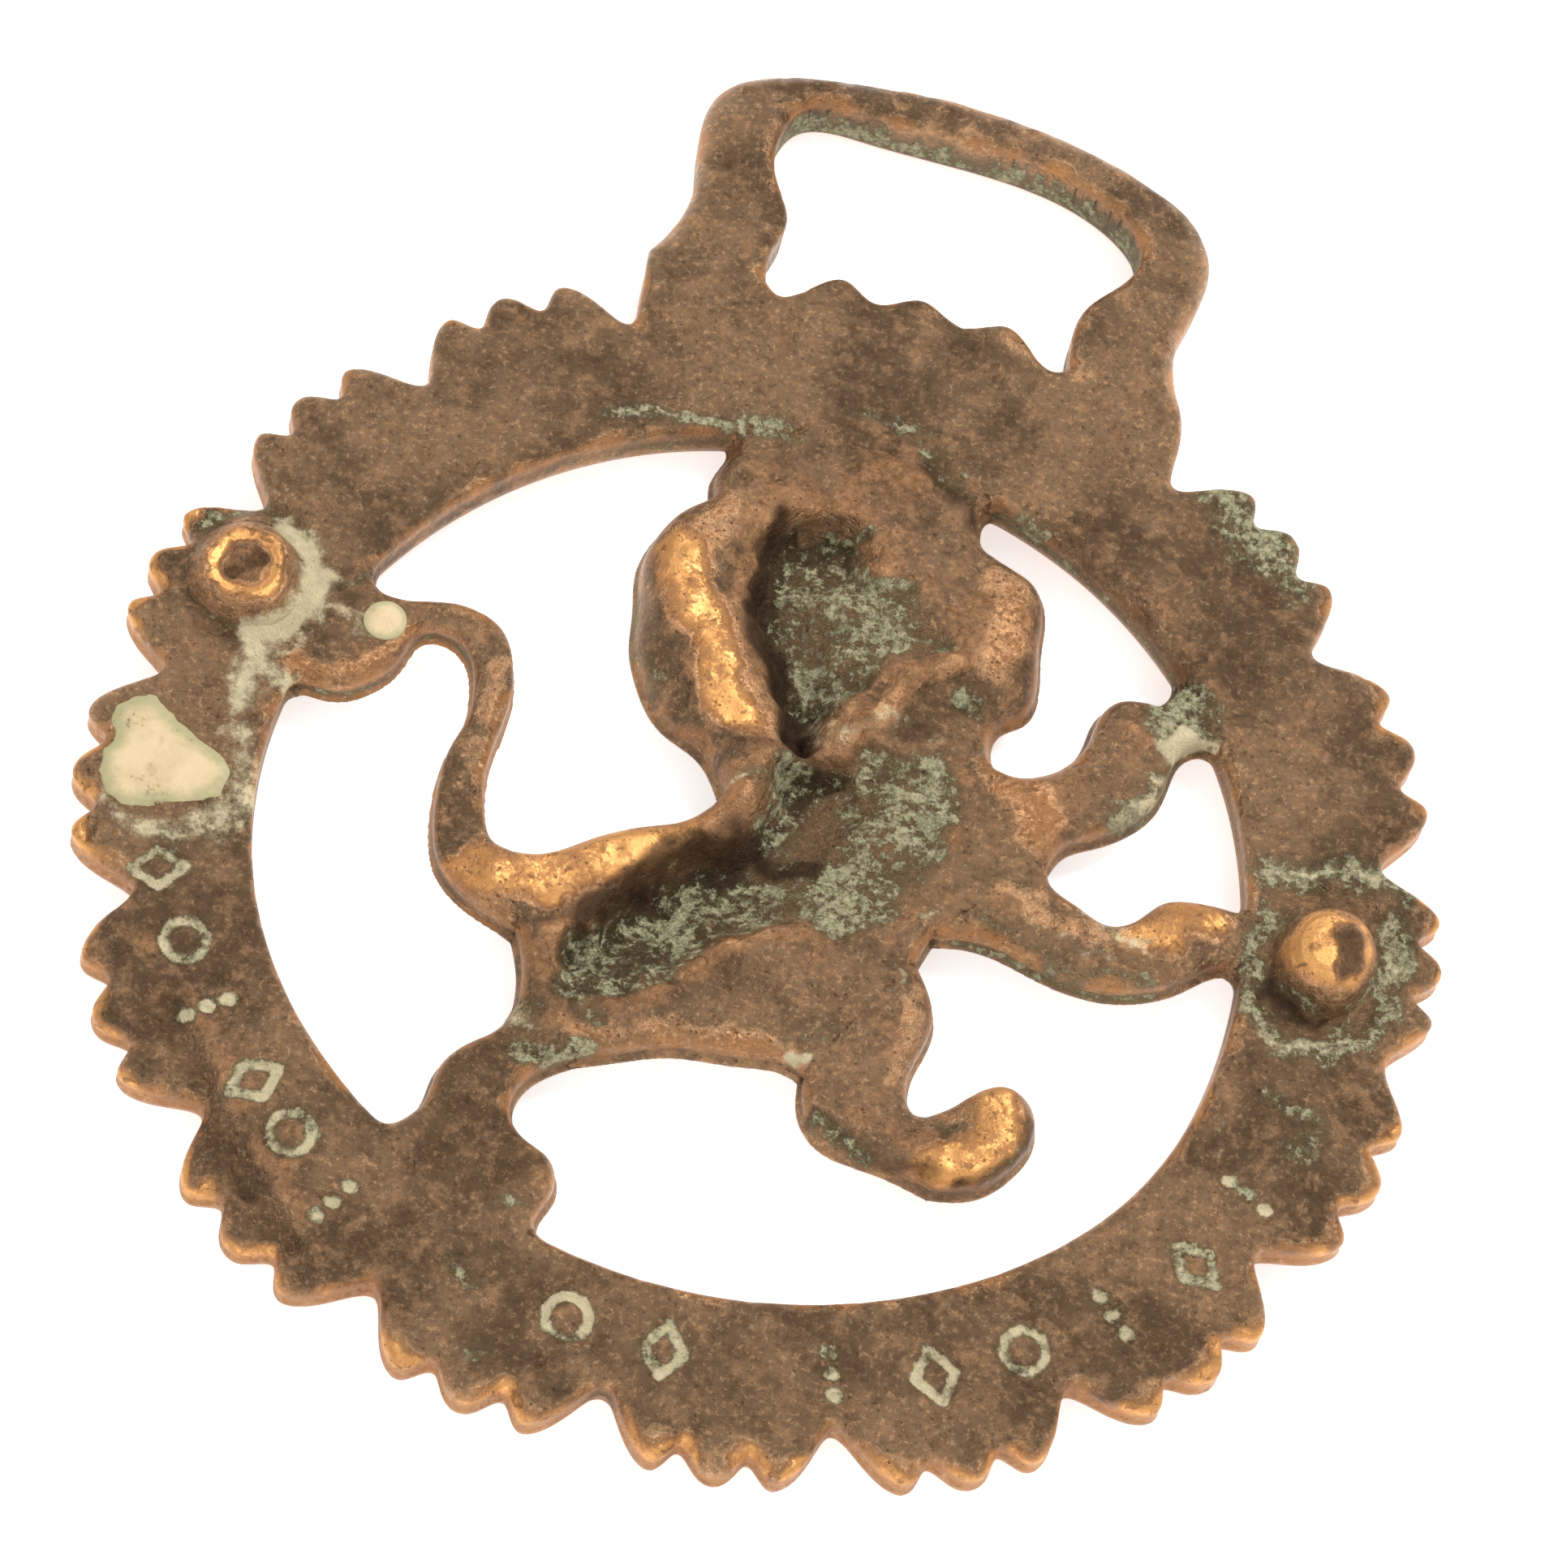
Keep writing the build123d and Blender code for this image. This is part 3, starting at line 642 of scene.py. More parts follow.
# ---- where the metal is rubbed bright with painted highlights, green, chalky, and dark mostly with painted shade, from above
RUBBED = (  # points, half width of the crest, half width, amount
    ([(-9.2, 16.4), (-8, 13.4), (-6.4, 11.2), (-4.8, 8.8), (-3.6, 7.2)], 0.6, 2.6, 0.95),
    ([(-8.8, 16.4), (-7.4, 19.4)], 0.4, 2.4, 0.45),
    ([(-14.8, -6.6), (-11.8, -6), (-9.4, -4.6), (-7.2, -3), (-4.8, -1)], 0.8, 2.6, 0.95),
    ([(-3.6, 0.6), (-2.4, 2.2)], 0.3, 1.4, 0.6), ([(4.3, 9.4), (4.9, 11.4)], 0.1, 0.9, 0.55),
    ([(15.2, -10.9), (16, -12.7), (15.4, -14.8), (13.4, -15.8)], 0.7, 2, 0.95),
    ([(12.4, -13.4), (14, -12), (15.4, -11)], 0.2, 2, 0.5),
    ([(-7.4, -14.2), (-4.6, -13.6), (-2, -12.6), (4, -12.1)], 0.3, 1.5, 0.5),
    ([(-11.5, -9.4), (-10.8, -12.6)], 0.2, 0.9, 0.6), ([(21.6, 1.4), (22.8, 2.6), (24.2, 3.2)], 0.8, 2, 0.9),
    ([(11.4, 8.6), (13.2, 7.4), (14.4, 5.6)], 0.6, 2.6, 0.65),
    ([(8.6, 20.6), (10, 18.4), (9.6, 15.2)], 0.4, 2.6, 0.5),
    ([(9.8, -6), (10.2, -8.4), (9.6, -11.6)], 0.2, 1.4, 0.45),
    ([(13, 1.2), (16, 0.4), (19, 0.2)], 0.2, 1.8, 0.4),
    ([(-16, 48.6), (-15.6, 44), (-15.2, 40)], 0.2, 1.3, 0.6),
    ([(-17.2, -6.2), (-14.9, -7.2), (-12.6, -8.8)], 0, 0.9, 0.6),
    ([(-18.3, 8), (-17.2, 5.4), (-16.8, 2), (-16.8, -2)], 0, 1.3, 0.4),
    ([(-28, 2.8), (-25.4, 2.9), (-23.8, 4.2), (-22.9, 6)], 0.1, 1.1, 0.6),
)
VERDIGRIS = (  # points, half width, amount
    ([(-15.6, 24.2), (-12, 25.4), (-9, 25.9), (-6.6, 26.4), (-5.4, 26.1)], 1.2, 1),
    ([(-8.2, 26), (-5.8, 26.6)], 1.7, 1), ([(-2, 28.8), (1, 29), (3.4, 27.4), (4.8, 25.4)], 1.1, 0.6),
    ([(6.8, 24.6), (8.4, 25), (10, 24.8)], 0.7, 0.9), ([(8, 12.3), (9.4, 11.9)], 1.1, 1),
    ([(-10.9, 13.4), (-10.2, 10.4), (-8.8, 8.6)], 1.3, 0.55),
    ([(-28.2, 8.6), (-29.6, 11), (-32.4, 11.9), (-35.6, 10)], 0.9, 0.85),
    ([(-26.6, 9), (-24.4, 10)], 0.8, 0.8), ([(27, 7.2), (30, 8.2), (34.6, 8.4)], 2.2, 1),
    ([(27.6, 5), (27.4, 1), (28.2, -1.6), (30.4, -2.8), (33.6, -1.8), (35.2, 1.6), (34.6, 5.8)], 1.6, 1),
    ([(19.8, 30.6), (21.6, 28.6), (23.4, 27.4), (25.4, 26.6)], 3.2, 1),
    ([(-15.6, 34.4), (-16, 37.6)], 1, 0.5),
    ([(-30, -9), (-28.4, -7.2)], 1.3, 0.7), ([(-32.4, -9.4), (-31, -9.8)], 0.9, 0.7),
    ([(-9.6, -28.4), (-8.4, -29.6)], 1.2, 0.5), ([(-7.6, -32.8), (-6.8, -33.4)], 0.9, 0.6),
    ([(-8.6, -24.9), (-7, -24.6)], 0.9, 0.7), ([(-9.6, -16), (-6.6, -15.2)], 1.9, 1),
    ([(10.6, 2), (12.8, 1.6)], 1.2, 0.5), ([(4.6, -11.2), (6.4, -10.2)], 1, 0.6),
    ([(19.6, 14.4), (20.6, 17.2), (21.8, 15.4)], 1.9, 1), ([(20.6, 13), (20, 9.8), (18.2, 7.4)], 1.3, 1),
    ([(12, -1.2), (14.6, -1.4), (18.6, -2), (22, -1.4)], 0.7, 0.7), ([(7, -15.4), (9.6, -16)], 0.9, 0.8),
    ([(13, -13.6), (14.4, -13.2)], 0.9, 0.6), ([(17.2, -13.6), (16.4, -15.6)], 0.9, 0.5),
    ([(-1.6, 3.6), (-0.6, 3)], 1.4, 0.9), ([(30, -6.4), (32.6, -7.8), (31.6, -9.2)], 1.5, 0.7),
)
BARE_IN_HOLLOWS = (
    ([(-4.2, 20.6), (-4.6, 16), (-3.6, 12.6), (-1.4, 9.4), (0.2, 6.6)], 1.9, 0.85),
    ([(-8.4, -7), (-6, -3.6), (-3, -0.9), (0.6, -0.5), (2.4, -0.4)], 1.6, 0.85),
    ([(-1, -9), (3, -6.4), (7, -5.2)], 1.6, 0.7),
)
VERDIGRIS_ON_WALLS = (
    (SLOT_EDGE, 1.6, 0.95), ([(6, 26.8), (13, 23.6), (19.4, 18.6)], 3, 0.85),
    ([(12, -1.7), (16, -2.3), (19.5, -2.6), (22, -1.8)], 2, 0.9), ([(21.4, 13), (19, 7.6)], 1.6, 0.7),
    ([(-29.4, 2.3), (-26, 2.1), (-23.4, 3.4)], 1.4, 0.6),
    ([(-21.4, 7.5), (-19.8, 7.3), (-18.5, 6)], 1.4, 0.75),
    ([(-11, 17.6), (-11.2, 14), (-10.2, 9.8)], 1.4, 0.6), ([(-16, 23), (-8, 26.4)], 1.6, 0.7),
)
DRIED_POLISH = (
    ([(-29.2, 10), (-28, 7.4), (-28.8, 4.6), (-30.2, 1.4)], 3, 0.5),
    ([(-30.6, 10.8), (-29.2, 9.6), (-28.2, 7.6), (-28.6, 5.6), (-30.2, 4.4)], 1.8, 1),
    ([(-30.4, 3.8), (-30, 1.2), (-29.8, -1.2)], 1.5, 0.75), ([(-29.2, 1.8), (-27.4, 1.5)], 1.3, 0.7),
    ([(-28, 6.6), (-26.2, 6.8), (-25, 5.6)], 1.2, 0.5),
    ([(-29.8, -2.6), (-28.4, -5), (-29.4, -8.6)], 2.4, 0.55),
    ([(-30.4, -9), (-33.6, -9.4)], 1.6, 0.5), ([(-35.4, -8.6), (-32, -8.8), (-29.2, -7.6)], 1.3, 0.5),
    ([(20.2, 12.8), (21.2, 14.6), (22.4, 14.2)], 1.4, 1), ([(20.4, 11.4), (19.8, 9.2)], 0.7, 0.6),
    ([(18.2, 1.4), (20, 1.2), (21.4, 0.4)], 1.5, 0.45), ([(17.4, -0.6), (20, -1)], 1, 0.4),
    ([(4.2, -12.3), (5.4, -12.2)], 0.7, 0.85), ([(-2.6, 3.1), (-2.2, 3.3)], 0.5, 0.6),
    ([(1.4, 7.8), (4.4, 9.2), (7.4, 9.6)], 1.8, 0.38), ([(9.2, -1.6), (9.6, -1.3)], 0.5, 0.6),
    ([(8, -5), (8.7, -6), (8.2, -6.6)], 0.5, 0.5), ([(26.8, -7.6), (28, -9.2), (27.4, -10.2)], 0.5, 0.45),
    ([(27, 7.6), (30, 8.3), (33.4, 8)], 0.9, 0.45), ([(34.4, 6), (34.8, 3.4)], 0.9, 0.5),
    ([(28, -2.2), (30.8, -3), (33, -2.4)], 0.9, 0.5), ([(-12, -13.2), (-10, -14)], 1.2, 0.5),
    ([(30.4, -7), (32.6, -7.6), (32.8, -9.2)], 0.6, 0.45), ([(21, -8.6), (22.6, -10.2)], 0.5, 0.4),
    ([(-15.4, 24.5), (-12, 25.6), (-8, 26), (-6, 26.4)], 0.7, 0.4), ([(7, 24.8), (9.2, 25.1)], 0.6, 0.5),
)
# painted shade: dark strokes at the foot of the walls below the mane's crest and the spine, in the crease,
# along the crown's edge and a pocket beside it, on the foot's outer slope and in its furrow, and at the right
# lug's foot; the stroke at the neck is dark pitting
PAINTED_SHADE_AND_DIRT = (
    ([(-4.3, 20.4), (-4.7, 16), (-3.8, 12.6), (-1.6, 9.6), (0.2, 7.2)], 1.5, 0.9),
    ([(-8.6, -7.4), (-6.4, -4.2), (-3.4, -1.2), (0, -0.3), (3, -0.6)], 1.5, 0.95), (CREASE, 1, 0.4),
    ([(3, 27), (4.8, 25.2), (6.2, 24)], 0.9, 0.7), ([(28.4, 0.6), (30.2, -1), (32.2, -0.8)], 0.9, 0.8),
    ([(-3.6, 5.6), (-0.6, 5.6), (2.4, 6.4), (4.4, 7.4)], 1.1, 0.55),
    ([(17.6, -11.8), (17, -14.6), (14.8, -16.6)], 0.9, 0.6),
    ([(7.4, -15.4), (10.4, -16.2), (13, -16.4)], 1.1, 0.6),
    ([(-5.6, 24.4), (-5, 22.6), (-3.4, 23)], 1.6, 0.35),
)


def strokes(table, least=0):
    """The strongest of several strokes at each place."""
    marked = [amount * stroke(points, width) for points, width, amount in table]
    return np.maximum(least, np.maximum.reduce(marked))


def wear_and_highlight_places():
    """Edges, the scallops' tips and the high ridges are worn bright; the band along every edge and the rim
    and tips, made brighter toward the ring's bottom, are also painted highlight.
    """
    # painted highlight as well as wear: the outer rim is made brighter over the lower half of the ring, and
    # the tips toward its bottom
    lower_half = np.clip(ease(ANGLE, 140, 175) + ease(30 - ANGLE, 0, 25), 0, 1)
    tips = ease(RADIUS - tip_radius(ANGLE), -2.2, -0.6)
    rim = ease(plan, -0.75, 0) * ease(RADIUS, 32, 33)
    places = [
        rim * (0.7 + 0.25 * lower_half) * (0.6 + 0.4 * tips),
        # painted highlight as well as wear: a bright band along every edge
        0.62 * ease(plan, -0.65, -0.1),
        0.55 * tips * ease(plan, -2.2, -0.3) * (0.55 + 0.45 * ease(ANGLE, 230, 290)),
        0.35 * ease(raised, 0.08, 0.4),
    ]
    places += [amount * ridge(points, crest, width) for points, crest, width, amount in RUBBED]
    return np.maximum.reduce(places)


def coppery_places():
    faces = 0.5 * spot(8.6, 17.4, 5) + 0.4 * spot(1, 25, 6) + 0.4 * spot(14, 9, 6)
    return np.clip(0.5 * gold + 0.6 * ease(raised, 0, 0.25) + faces, 0, 1)


def green_places():
    """Verdigris fills the hollows, apart from their blackened sides, and some corners."""
    floors = np.maximum(0.95 * ease(head_hollow, 0, 0.5), 0.92 * ease(body_hollow, 0, 0.5))
    haunch = stroke([(-12.4, -10.6), (-11.6, -13), (-9, -13.6), (-7, -12.6)], 2)
    floors = np.maximum(floors, 0.8 * haunch) * (0.75 + 0.35 * noise(2.6, 14))
    for points, width, amount in BARE_IN_HOLLOWS:
        floors *= 1.0 - amount * stroke(points, width)
    floors *= 1.0 - 0.4 * np.maximum(spot(2, 2.4, 3.4), spot(5, 4.6, 2)) * (Y > -1)
    return np.maximum(floors, strokes(VERDIGRIS))


# Mostly painted shade: darker where the surface lies below its blurred surroundings, along the sloping inner
# rim, on a spot of the raised foot and along the strokes above; also darker in the hollows.
def shade_and_dirt_places():
    return np.maximum.reduce([
        strokes(PAINTED_SHADE_AND_DIRT), ease(-raised, 0.1, 0.8), 0.4 * np.maximum(head_hollow, body_hollow),
        0.5 * spot(13.4, -13.6, 1, 1.4), 0.5 * sloping_rim,
    ])


def ragged(values):
    """The same map with its outlines broken up, as patina and deposits have."""
    move_x = 0.55 * noise(1.6, 61) + 0.3 * noise(0.7, 62)
    move_y = 0.55 * noise(1.6, 63) + 0.3 * noise(0.7, 64)
    return sample(values, X + move_x, Y + move_y)


relief = np.where(metal, back, soften(back, 1))
raised = relief - soften(relief, 1.2)
gold = wear_and_highlight_places()
copper = coppery_places()
gold, green, cream, dark = (ragged(m) for m in (gold, green_places(), strokes(DRIED_POLISH), shade_and_dirt_places()))
green = np.maximum(green, 0.95 * ease(sunk_marks, 0.1, 0.5))
cream = np.maximum(cream, ease(sunk_marks, 0.25, 0.7) * (0.65 + 0.45 * noise(1.6, 8)))
green_walls = strokes(VERDIGRIS_ON_WALLS, 0.2)
PAINTS = {"gold": gold, "copper": copper, "green": green, "cream": cream, "dark": dark}


def store(piece, name, values):
    """Keeps a value from 0 to 1 for each point of a piece, for its material."""
    attribute = piece.data.attributes.new(name, "FLOAT", "POINT")
    attribute.data.foreach_set("value", np.clip(values, 0, 1).astype(np.float32))


def paint(piece):
    """Stores how bright-rubbed, coppery, green, chalky and dark each point of a piece is; the darkness on
    walls and in the front's grooves is painted shade.
    """
    x, y, z = plan_points(piece)
    depth = sample(back, x, y) - z
    above_front = z - sample(front, x, y)
    turned = sample(back_round, x, y)
    under = ease(depth, 0.3 + 0.6 * turned, 0.7 + 0.95 * turned)
    toward_front = 1.0 - ease(above_front, 0.25, 0.6)
    ring_side = ease(np.hypot(x, y), 33, 34.5) * (y < 36)
    elsewhere = 1 - ring_side
    flash = np.exp(-(((z - FLASH_LEVEL) / 0.28) ** 2)) * (y < 36)
    slot_wall = ease(-sample(hanger_slot, x, y), -1.2, -0.3)
    crusted = sample(green_walls, x, y) * elsewhere
    low_edge = ease(above_front, 0.9, 0.5)
    bare = np.maximum(0.42, 0.6 * flash) * (1 - crusted)
    on_wall = {
        "gold": 0.65 * ring_side + elsewhere * np.maximum(bare, 0.8 * low_edge),
        "copper": 0.6 * ring_side + 0.2,
        "green": crusted * (1 - 0.4 * flash) * (1 - low_edge) * (1 - slot_wall * ease(depth, 1.5, 0.9)),
        "cream": 0.0 * x,
        # painted shade: walls darker away from the flash line, and the slot's walls darker near the back
        "dark": 0.15 * ring_side + elsewhere * (0.3 * (1 - flash) + 0.6 * slot_wall * ease(depth, 1.6, 0.9)),
    }
    groove = sample(front_groove, x, y)
    on_front = {
        "gold": 0.8 - 0.9 * groove, "copper": 0.8 + 0 * x, "green": 0.3 * groove, "cream": 0 * x,
        # painted shade in the front's grooves
        "dark": 0.7 * groove,
    }
    for name, values in PAINTS.items():
        mixed = sample(values, x, y) * (1 - under) + on_wall[name] * under
        store(piece, name, mixed * (1 - toward_front) + on_front[name] * toward_front)


# ---- materials
def srgb(r, g, b):
    """A colour given in display values from 0 to 255."""
    return (*(((c / 255 + 0.055) / 1.055) ** 2.4 if c > 10 else c / 3294 for c in (r, g, b)), 1)


class Nodes:
    """A short way to write a material's nodes."""

    def __init__(self, name):
        self.material = bpy.data.materials.new(name)
        self.material.use_nodes = True
        self.tree = self.material.node_tree
        self.shader = self.tree.nodes["Principled BSDF"]
        self.place = self.add("Mapping", "Vector", Vector=self.add("TexCoord", "Object"), Scale=(1 / MM,) * 3)

    def put(self, socket, value):
        if isinstance(value, bpy.types.NodeSocket):
            self.tree.links.new(value, socket)
        else:
            socket.default_value = value

    def add(self, kind, output, settings=(), **inputs):
        """The output of a new node, after its settings and inputs are made."""
        node = self.tree.nodes.new("ShaderNode" + kind)
        for key, value in dict(settings).items():
            setattr(node, key, value)
        for key, value in inputs.items():
            self.put(node.inputs[key.replace("_", " ")], value)
        return node.outputs[output]

    def attribute(self, name):
        return self.add("Attribute", "Fac", {"attribute_name": name})

    def noise(self, size, detail=4.0, roughness=0.6, distortion=0.0):
        """Noise with features about size millimetres across, from 0 to 1."""
        return self.add("TexNoise", "Fac", Vector=self.place, Scale=1 / size, Detail=detail,
                        Roughness=roughness, Distortion=distortion)

    def cells(self, size):
        return self.add("TexVoronoi", "Distance", Vector=self.place, Scale=1 / size)

    def math(self, operation, a, b, clamp=False):
        node = self.tree.nodes.new("ShaderNodeMath")
        node.operation = operation
        node.use_clamp = clamp
        self.put(node.inputs[0], a)
        self.put(node.inputs[1], b)
        return node.outputs[0]

    def times(self, a, b):
        return self.math("MULTIPLY", a, b)

    def plus(self, a, b, clamp=False):
        return self.math("ADD", a, b, clamp)

    def centred(self, value):
        """A noise moved from 0 to 1 to lie about 0."""
        return self.math("SUBTRACT", value, 0.5)

    def ramp(self, value, low, high, to_low=0.0, to_high=1.0):
        """Value eased from to_low at low to to_high at high."""
        return self.add("MapRange", "Result", {"interpolation_type": "SMOOTHSTEP"}, Value=value, From_Min=low,
                        From_Max=high, To_Min=to_low, To_Max=to_high)

    def mix(self, share, a, b):
        return self.add("Mix", "Result", {"data_type": "RGBA"}, Factor=share, A=a, B=b)

    def bump(self, height, strength, distance_mm):
        return self.add("Bump", "Normal", Strength=strength, Distance=distance_mm * MM, Height=height)


def shared_noises(n):
    """The noises that all layers of the patina share, from the coarsest on, and the places of its pits."""
    coarse, medium, fine = n.noise(8.0, 4, 0.6), n.noise(1.1, 6, 0.7), n.noise(0.34, 5, 0.72)
    grain, worn = n.noise(0.13, 3, 0.7), n.noise(2.2, 7, 0.75)
    return coarse, medium, fine, grain, worn, n.ramp(n.cells(0.62), 0.16, 0.05)


def brown_patina(n, coarse, medium, fine, grain):
    """Brown of several depths with darker blots, pale flecks and specks, and coppery where it is rubbed."""
    brown = n.mix(n.ramp(coarse, 0.4, 0.6), srgb(104, 82, 61), srgb(144, 114, 85))
    brown = n.mix(n.ramp(medium, 0.48, 0.66, 0, 0.6), brown, srgb(172, 134, 98))
    brown = n.mix(n.ramp(medium, 0.44, 0.34, 0, 0.45), brown, srgb(86, 66, 50))
    brown = n.mix(n.ramp(fine, 0.53, 0.68, 0, 0.55), brown, srgb(76, 58, 44))
    flecks = n.times(n.ramp(fine, 0.46, 0.36), n.ramp(coarse, 0.38, 0.6, 0.45, 1))
    brown = n.mix(n.times(flecks, 0.75), brown, srgb(202, 161, 120))
    specks = n.times(n.ramp(grain, 0.58, 0.7), n.ramp(medium, 0.42, 0.6, 0.2, 1))
    brown = n.mix(n.times(specks, 0.5), brown, srgb(206, 160, 118))
    copper = n.mix(n.ramp(fine, 0.35, 0.7), srgb(190, 142, 100), srgb(128, 94, 67))
    is_copper = n.ramp(n.plus(n.attribute("copper"), n.times(medium, 0.9)), 0.55, 1.15)
    return n.mix(n.times(is_copper, 0.7), brown, copper)


def wear_and_highlight_metal(n, surface, worn, fine):
    """Golden metal over the surface, brightest where it is rubbed most and where highlights are painted along
    edges, with a few dark scars.
    """
    uneven = n.plus(n.centred(worn), n.times(n.centred(fine), 0.7))
    rubbed = n.plus(n.attribute("gold"), n.times(uneven, 1.1))
    is_gold = n.ramp(rubbed, 0.28, 1.05)
    golden = n.mix(n.ramp(rubbed, 0.6, 1.15), srgb(178, 124, 78), srgb(206, 152, 92))
    scars = n.ramp(n.noise(0.8, 3, 0.6, 0.6), 0.58, 0.66, 0, 0.7)
    return is_gold, n.mix(is_gold, surface, n.mix(scars, golden, srgb(110, 76, 50)))


def painted_shade_and_pit_dirt(n, surface, coarse, medium, pits):
    """Painted shade in the furrows, hollows and on walls, with some dark dirt, and dirt in small pits."""
    uneven = n.times(n.centred(medium), 0.7)
    is_dark = n.ramp(n.plus(n.attribute("dark"), uneven), 0.1, 0.85)
    # painted shade colour where the dark attribute is high
    surface = n.mix(n.times(is_dark, 0.85), surface, srgb(50, 37, 27))
    in_pits = n.times(pits, n.ramp(coarse, 0.45, 0.6, 0.05, 0.4))
    return is_dark, n.mix(in_pits, surface, srgb(60, 44, 34))


def verdigris(n, surface, medium, fine, worn):
    """An olive tarnish under a broken pale green crust."""
    crust = n.plus(n.times(n.noise(0.6, 8, 0.75), 0.65), n.times(worn, 0.35))
    wanted = n.times(n.attribute("green"), 0.175)
    is_green = n.ramp(n.plus(crust, wanted), 0.6, 0.67)
    is_green = n.times(is_green, n.ramp(n.attribute("green"), 0.05, 0.4))
    here = n.ramp(n.attribute("green"), 0.1, 0.8, 0, 0.45)
    surface = n.mix(n.times(here, n.ramp(medium, 0.3, 0.6, 0.4, 1)), surface, srgb(88, 84, 58))
    crust_colour = n.mix(n.ramp(fine, 0.36, 0.62), srgb(120, 118, 84), srgb(192, 186, 146))
    return is_green, n.mix(n.times(is_green, 0.85), surface, crust_colour)


def polish_film(n, surface, medium, fine):
    """A thin cream film of dried polish, patchy at its edges."""
    dust = n.plus(n.attribute("cream"), n.times(n.centred(fine), 0.9))
    dust = n.plus(dust, n.times(n.centred(medium), 1.2))
    is_cream = n.times(n.ramp(dust, 0.26, 0.74), n.ramp(n.attribute("cream"), 0.05, 0.3))
    cream = n.mix(n.ramp(medium, 0.4, 0.7), srgb(200, 186, 148), srgb(222, 206, 166))
    return is_cream, n.mix(is_cream, surface, cream)


def patina():
    """Cast brass with a brown patina, rubbed golden on its high places, green and chalky in its hollows, with
    painted highlights on its edges and painted shade in its furrows, hollows and on its walls.
    """
    n = Nodes("aged_cast_brass")
    coarse, medium, fine, grain, worn, pits = shared_noises(n)
    surface = brown_patina(n, coarse, medium, fine, grain)
    is_gold, surface = wear_and_highlight_metal(n, surface, worn, fine)
    is_dark, surface = painted_shade_and_pit_dirt(n, surface, coarse, medium, pits)
    is_green, surface = verdigris(n, surface, medium, fine, worn)
    is_cream, surface = polish_film(n, surface, medium, fine)
    dull = n.math("MAXIMUM", is_green, is_cream)
    shine = n.plus(n.ramp(medium, 0.35, 0.7, 0.32, 0.46), n.times(is_gold, 0.05))
    rough = n.plus(shine, n.times(dull, 0.4), clamp=True)
    calm = n.math("SUBTRACT", 1, n.times(is_gold, 0.8))
    lumps = n.plus(n.times(medium, 0.85), n.times(fine, 0.85))
    lumps = n.times(n.plus(lumps, n.times(grain, 0.25)), calm)
    lumps = n.math("SUBTRACT", lumps, n.times(pits, 0.35))
    lumps = n.plus(lumps, n.times(n.times(dull, grain), 0.5))
    n.put(n.shader.inputs["Base Color"], surface)
    n.put(n.shader.inputs["Metallic"], n.times(n.math("SUBTRACT", 1, dull), 0.9))
    n.put(n.shader.inputs["Roughness"], n.plus(rough, n.times(is_dark, 0.15), clamp=True))
    n.put(n.shader.inputs["Normal"], n.bump(lumps, 1, 0.3))
    return n.material


def chalk():
    """Dried metal polish: a dull cream film with fine cracks and brown stains."""
    n = Nodes("dried_polish")
    medium, fine = n.noise(1.8, 5, 0.6), n.noise(0.3, 5, 0.7)
    cream = n.mix(n.ramp(medium, 0.35, 0.7), srgb(202, 180, 142), srgb(188, 165, 126))
    cracks = n.ramp(n.cells(0.9), 0.04, 0)
    cream = n.mix(n.times(cracks, 0.5), cream, srgb(140, 122, 90))
    cream = n.mix(n.ramp(n.times(medium, fine), 0.34, 0.42), cream, srgb(132, 106, 78))
    rim = n.plus(n.attribute("rim"), n.times(n.centred(fine), 0.6))
    rim = n.ramp(n.plus(rim, n.centred(medium)), 0.1, 1)
    cream = n.mix(n.times(rim, 0.75), cream, srgb(146, 144, 104))
    stain = n.times(n.ramp(medium, 0.6, 0.68), n.ramp(fine, 0.45, 0.55))
    cream = n.mix(n.times(stain, 0.7), cream, srgb(120, 96, 70))
    n.put(n.shader.inputs["Base Color"], cream)
    n.put(n.shader.inputs["Roughness"], n.ramp(fine, 0.3, 0.7, 0.62, 0.9))
    n.put(n.shader.inputs["Normal"], n.bump(n.plus(fine, n.times(cracks, -0.6)), 0.5, 0.08))
    return n.material


PATINA, CHALK = patina(), chalk()


def finish_piece(piece, material, slot_name, *nodes):
    piece.data.materials.append(material)
    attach(piece, "root")
    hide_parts(*nodes)


# ---- the casting, one piece for each region, each reaching a little into its neighbours
OVERLAP = 0.3
FACES_KEPT = {"toothed_ring": 0.44}


def window_round(wanted, margin):
    """The part of the grid around the wanted places."""
    found = np.argwhere(wanted)
    low = np.maximum(found.min(0) - margin, 0)
    high = found.max(0) + margin + 1
    return slice(low[0], high[0]), slice(low[1], high[1])


def window_origin(window):
    return GRID_X[window[0].start], GRID_Y[window[1].start], GRID_Z[0]


def casting_piece(name):
    rest = np.minimum.reduce([region for other, region in REGIONS.items() if other != name])
    share = (REGIONS[name] - rest) / 2 - OVERLAP
    window = window_round((share < 0) & metal, 4)
    field = np.maximum(solid_field(window), share[window][:, :, None])
    piece = new_mesh(name, *surface_net(field, window_origin(window), STEP))
    thin_out(piece, FACES_KEPT.get(name, 0.6))
    paint(piece)
    finish_piece(piece, PATINA, "aged_brass", name)


SEGMENTS = 96  # points round a lug or the spot


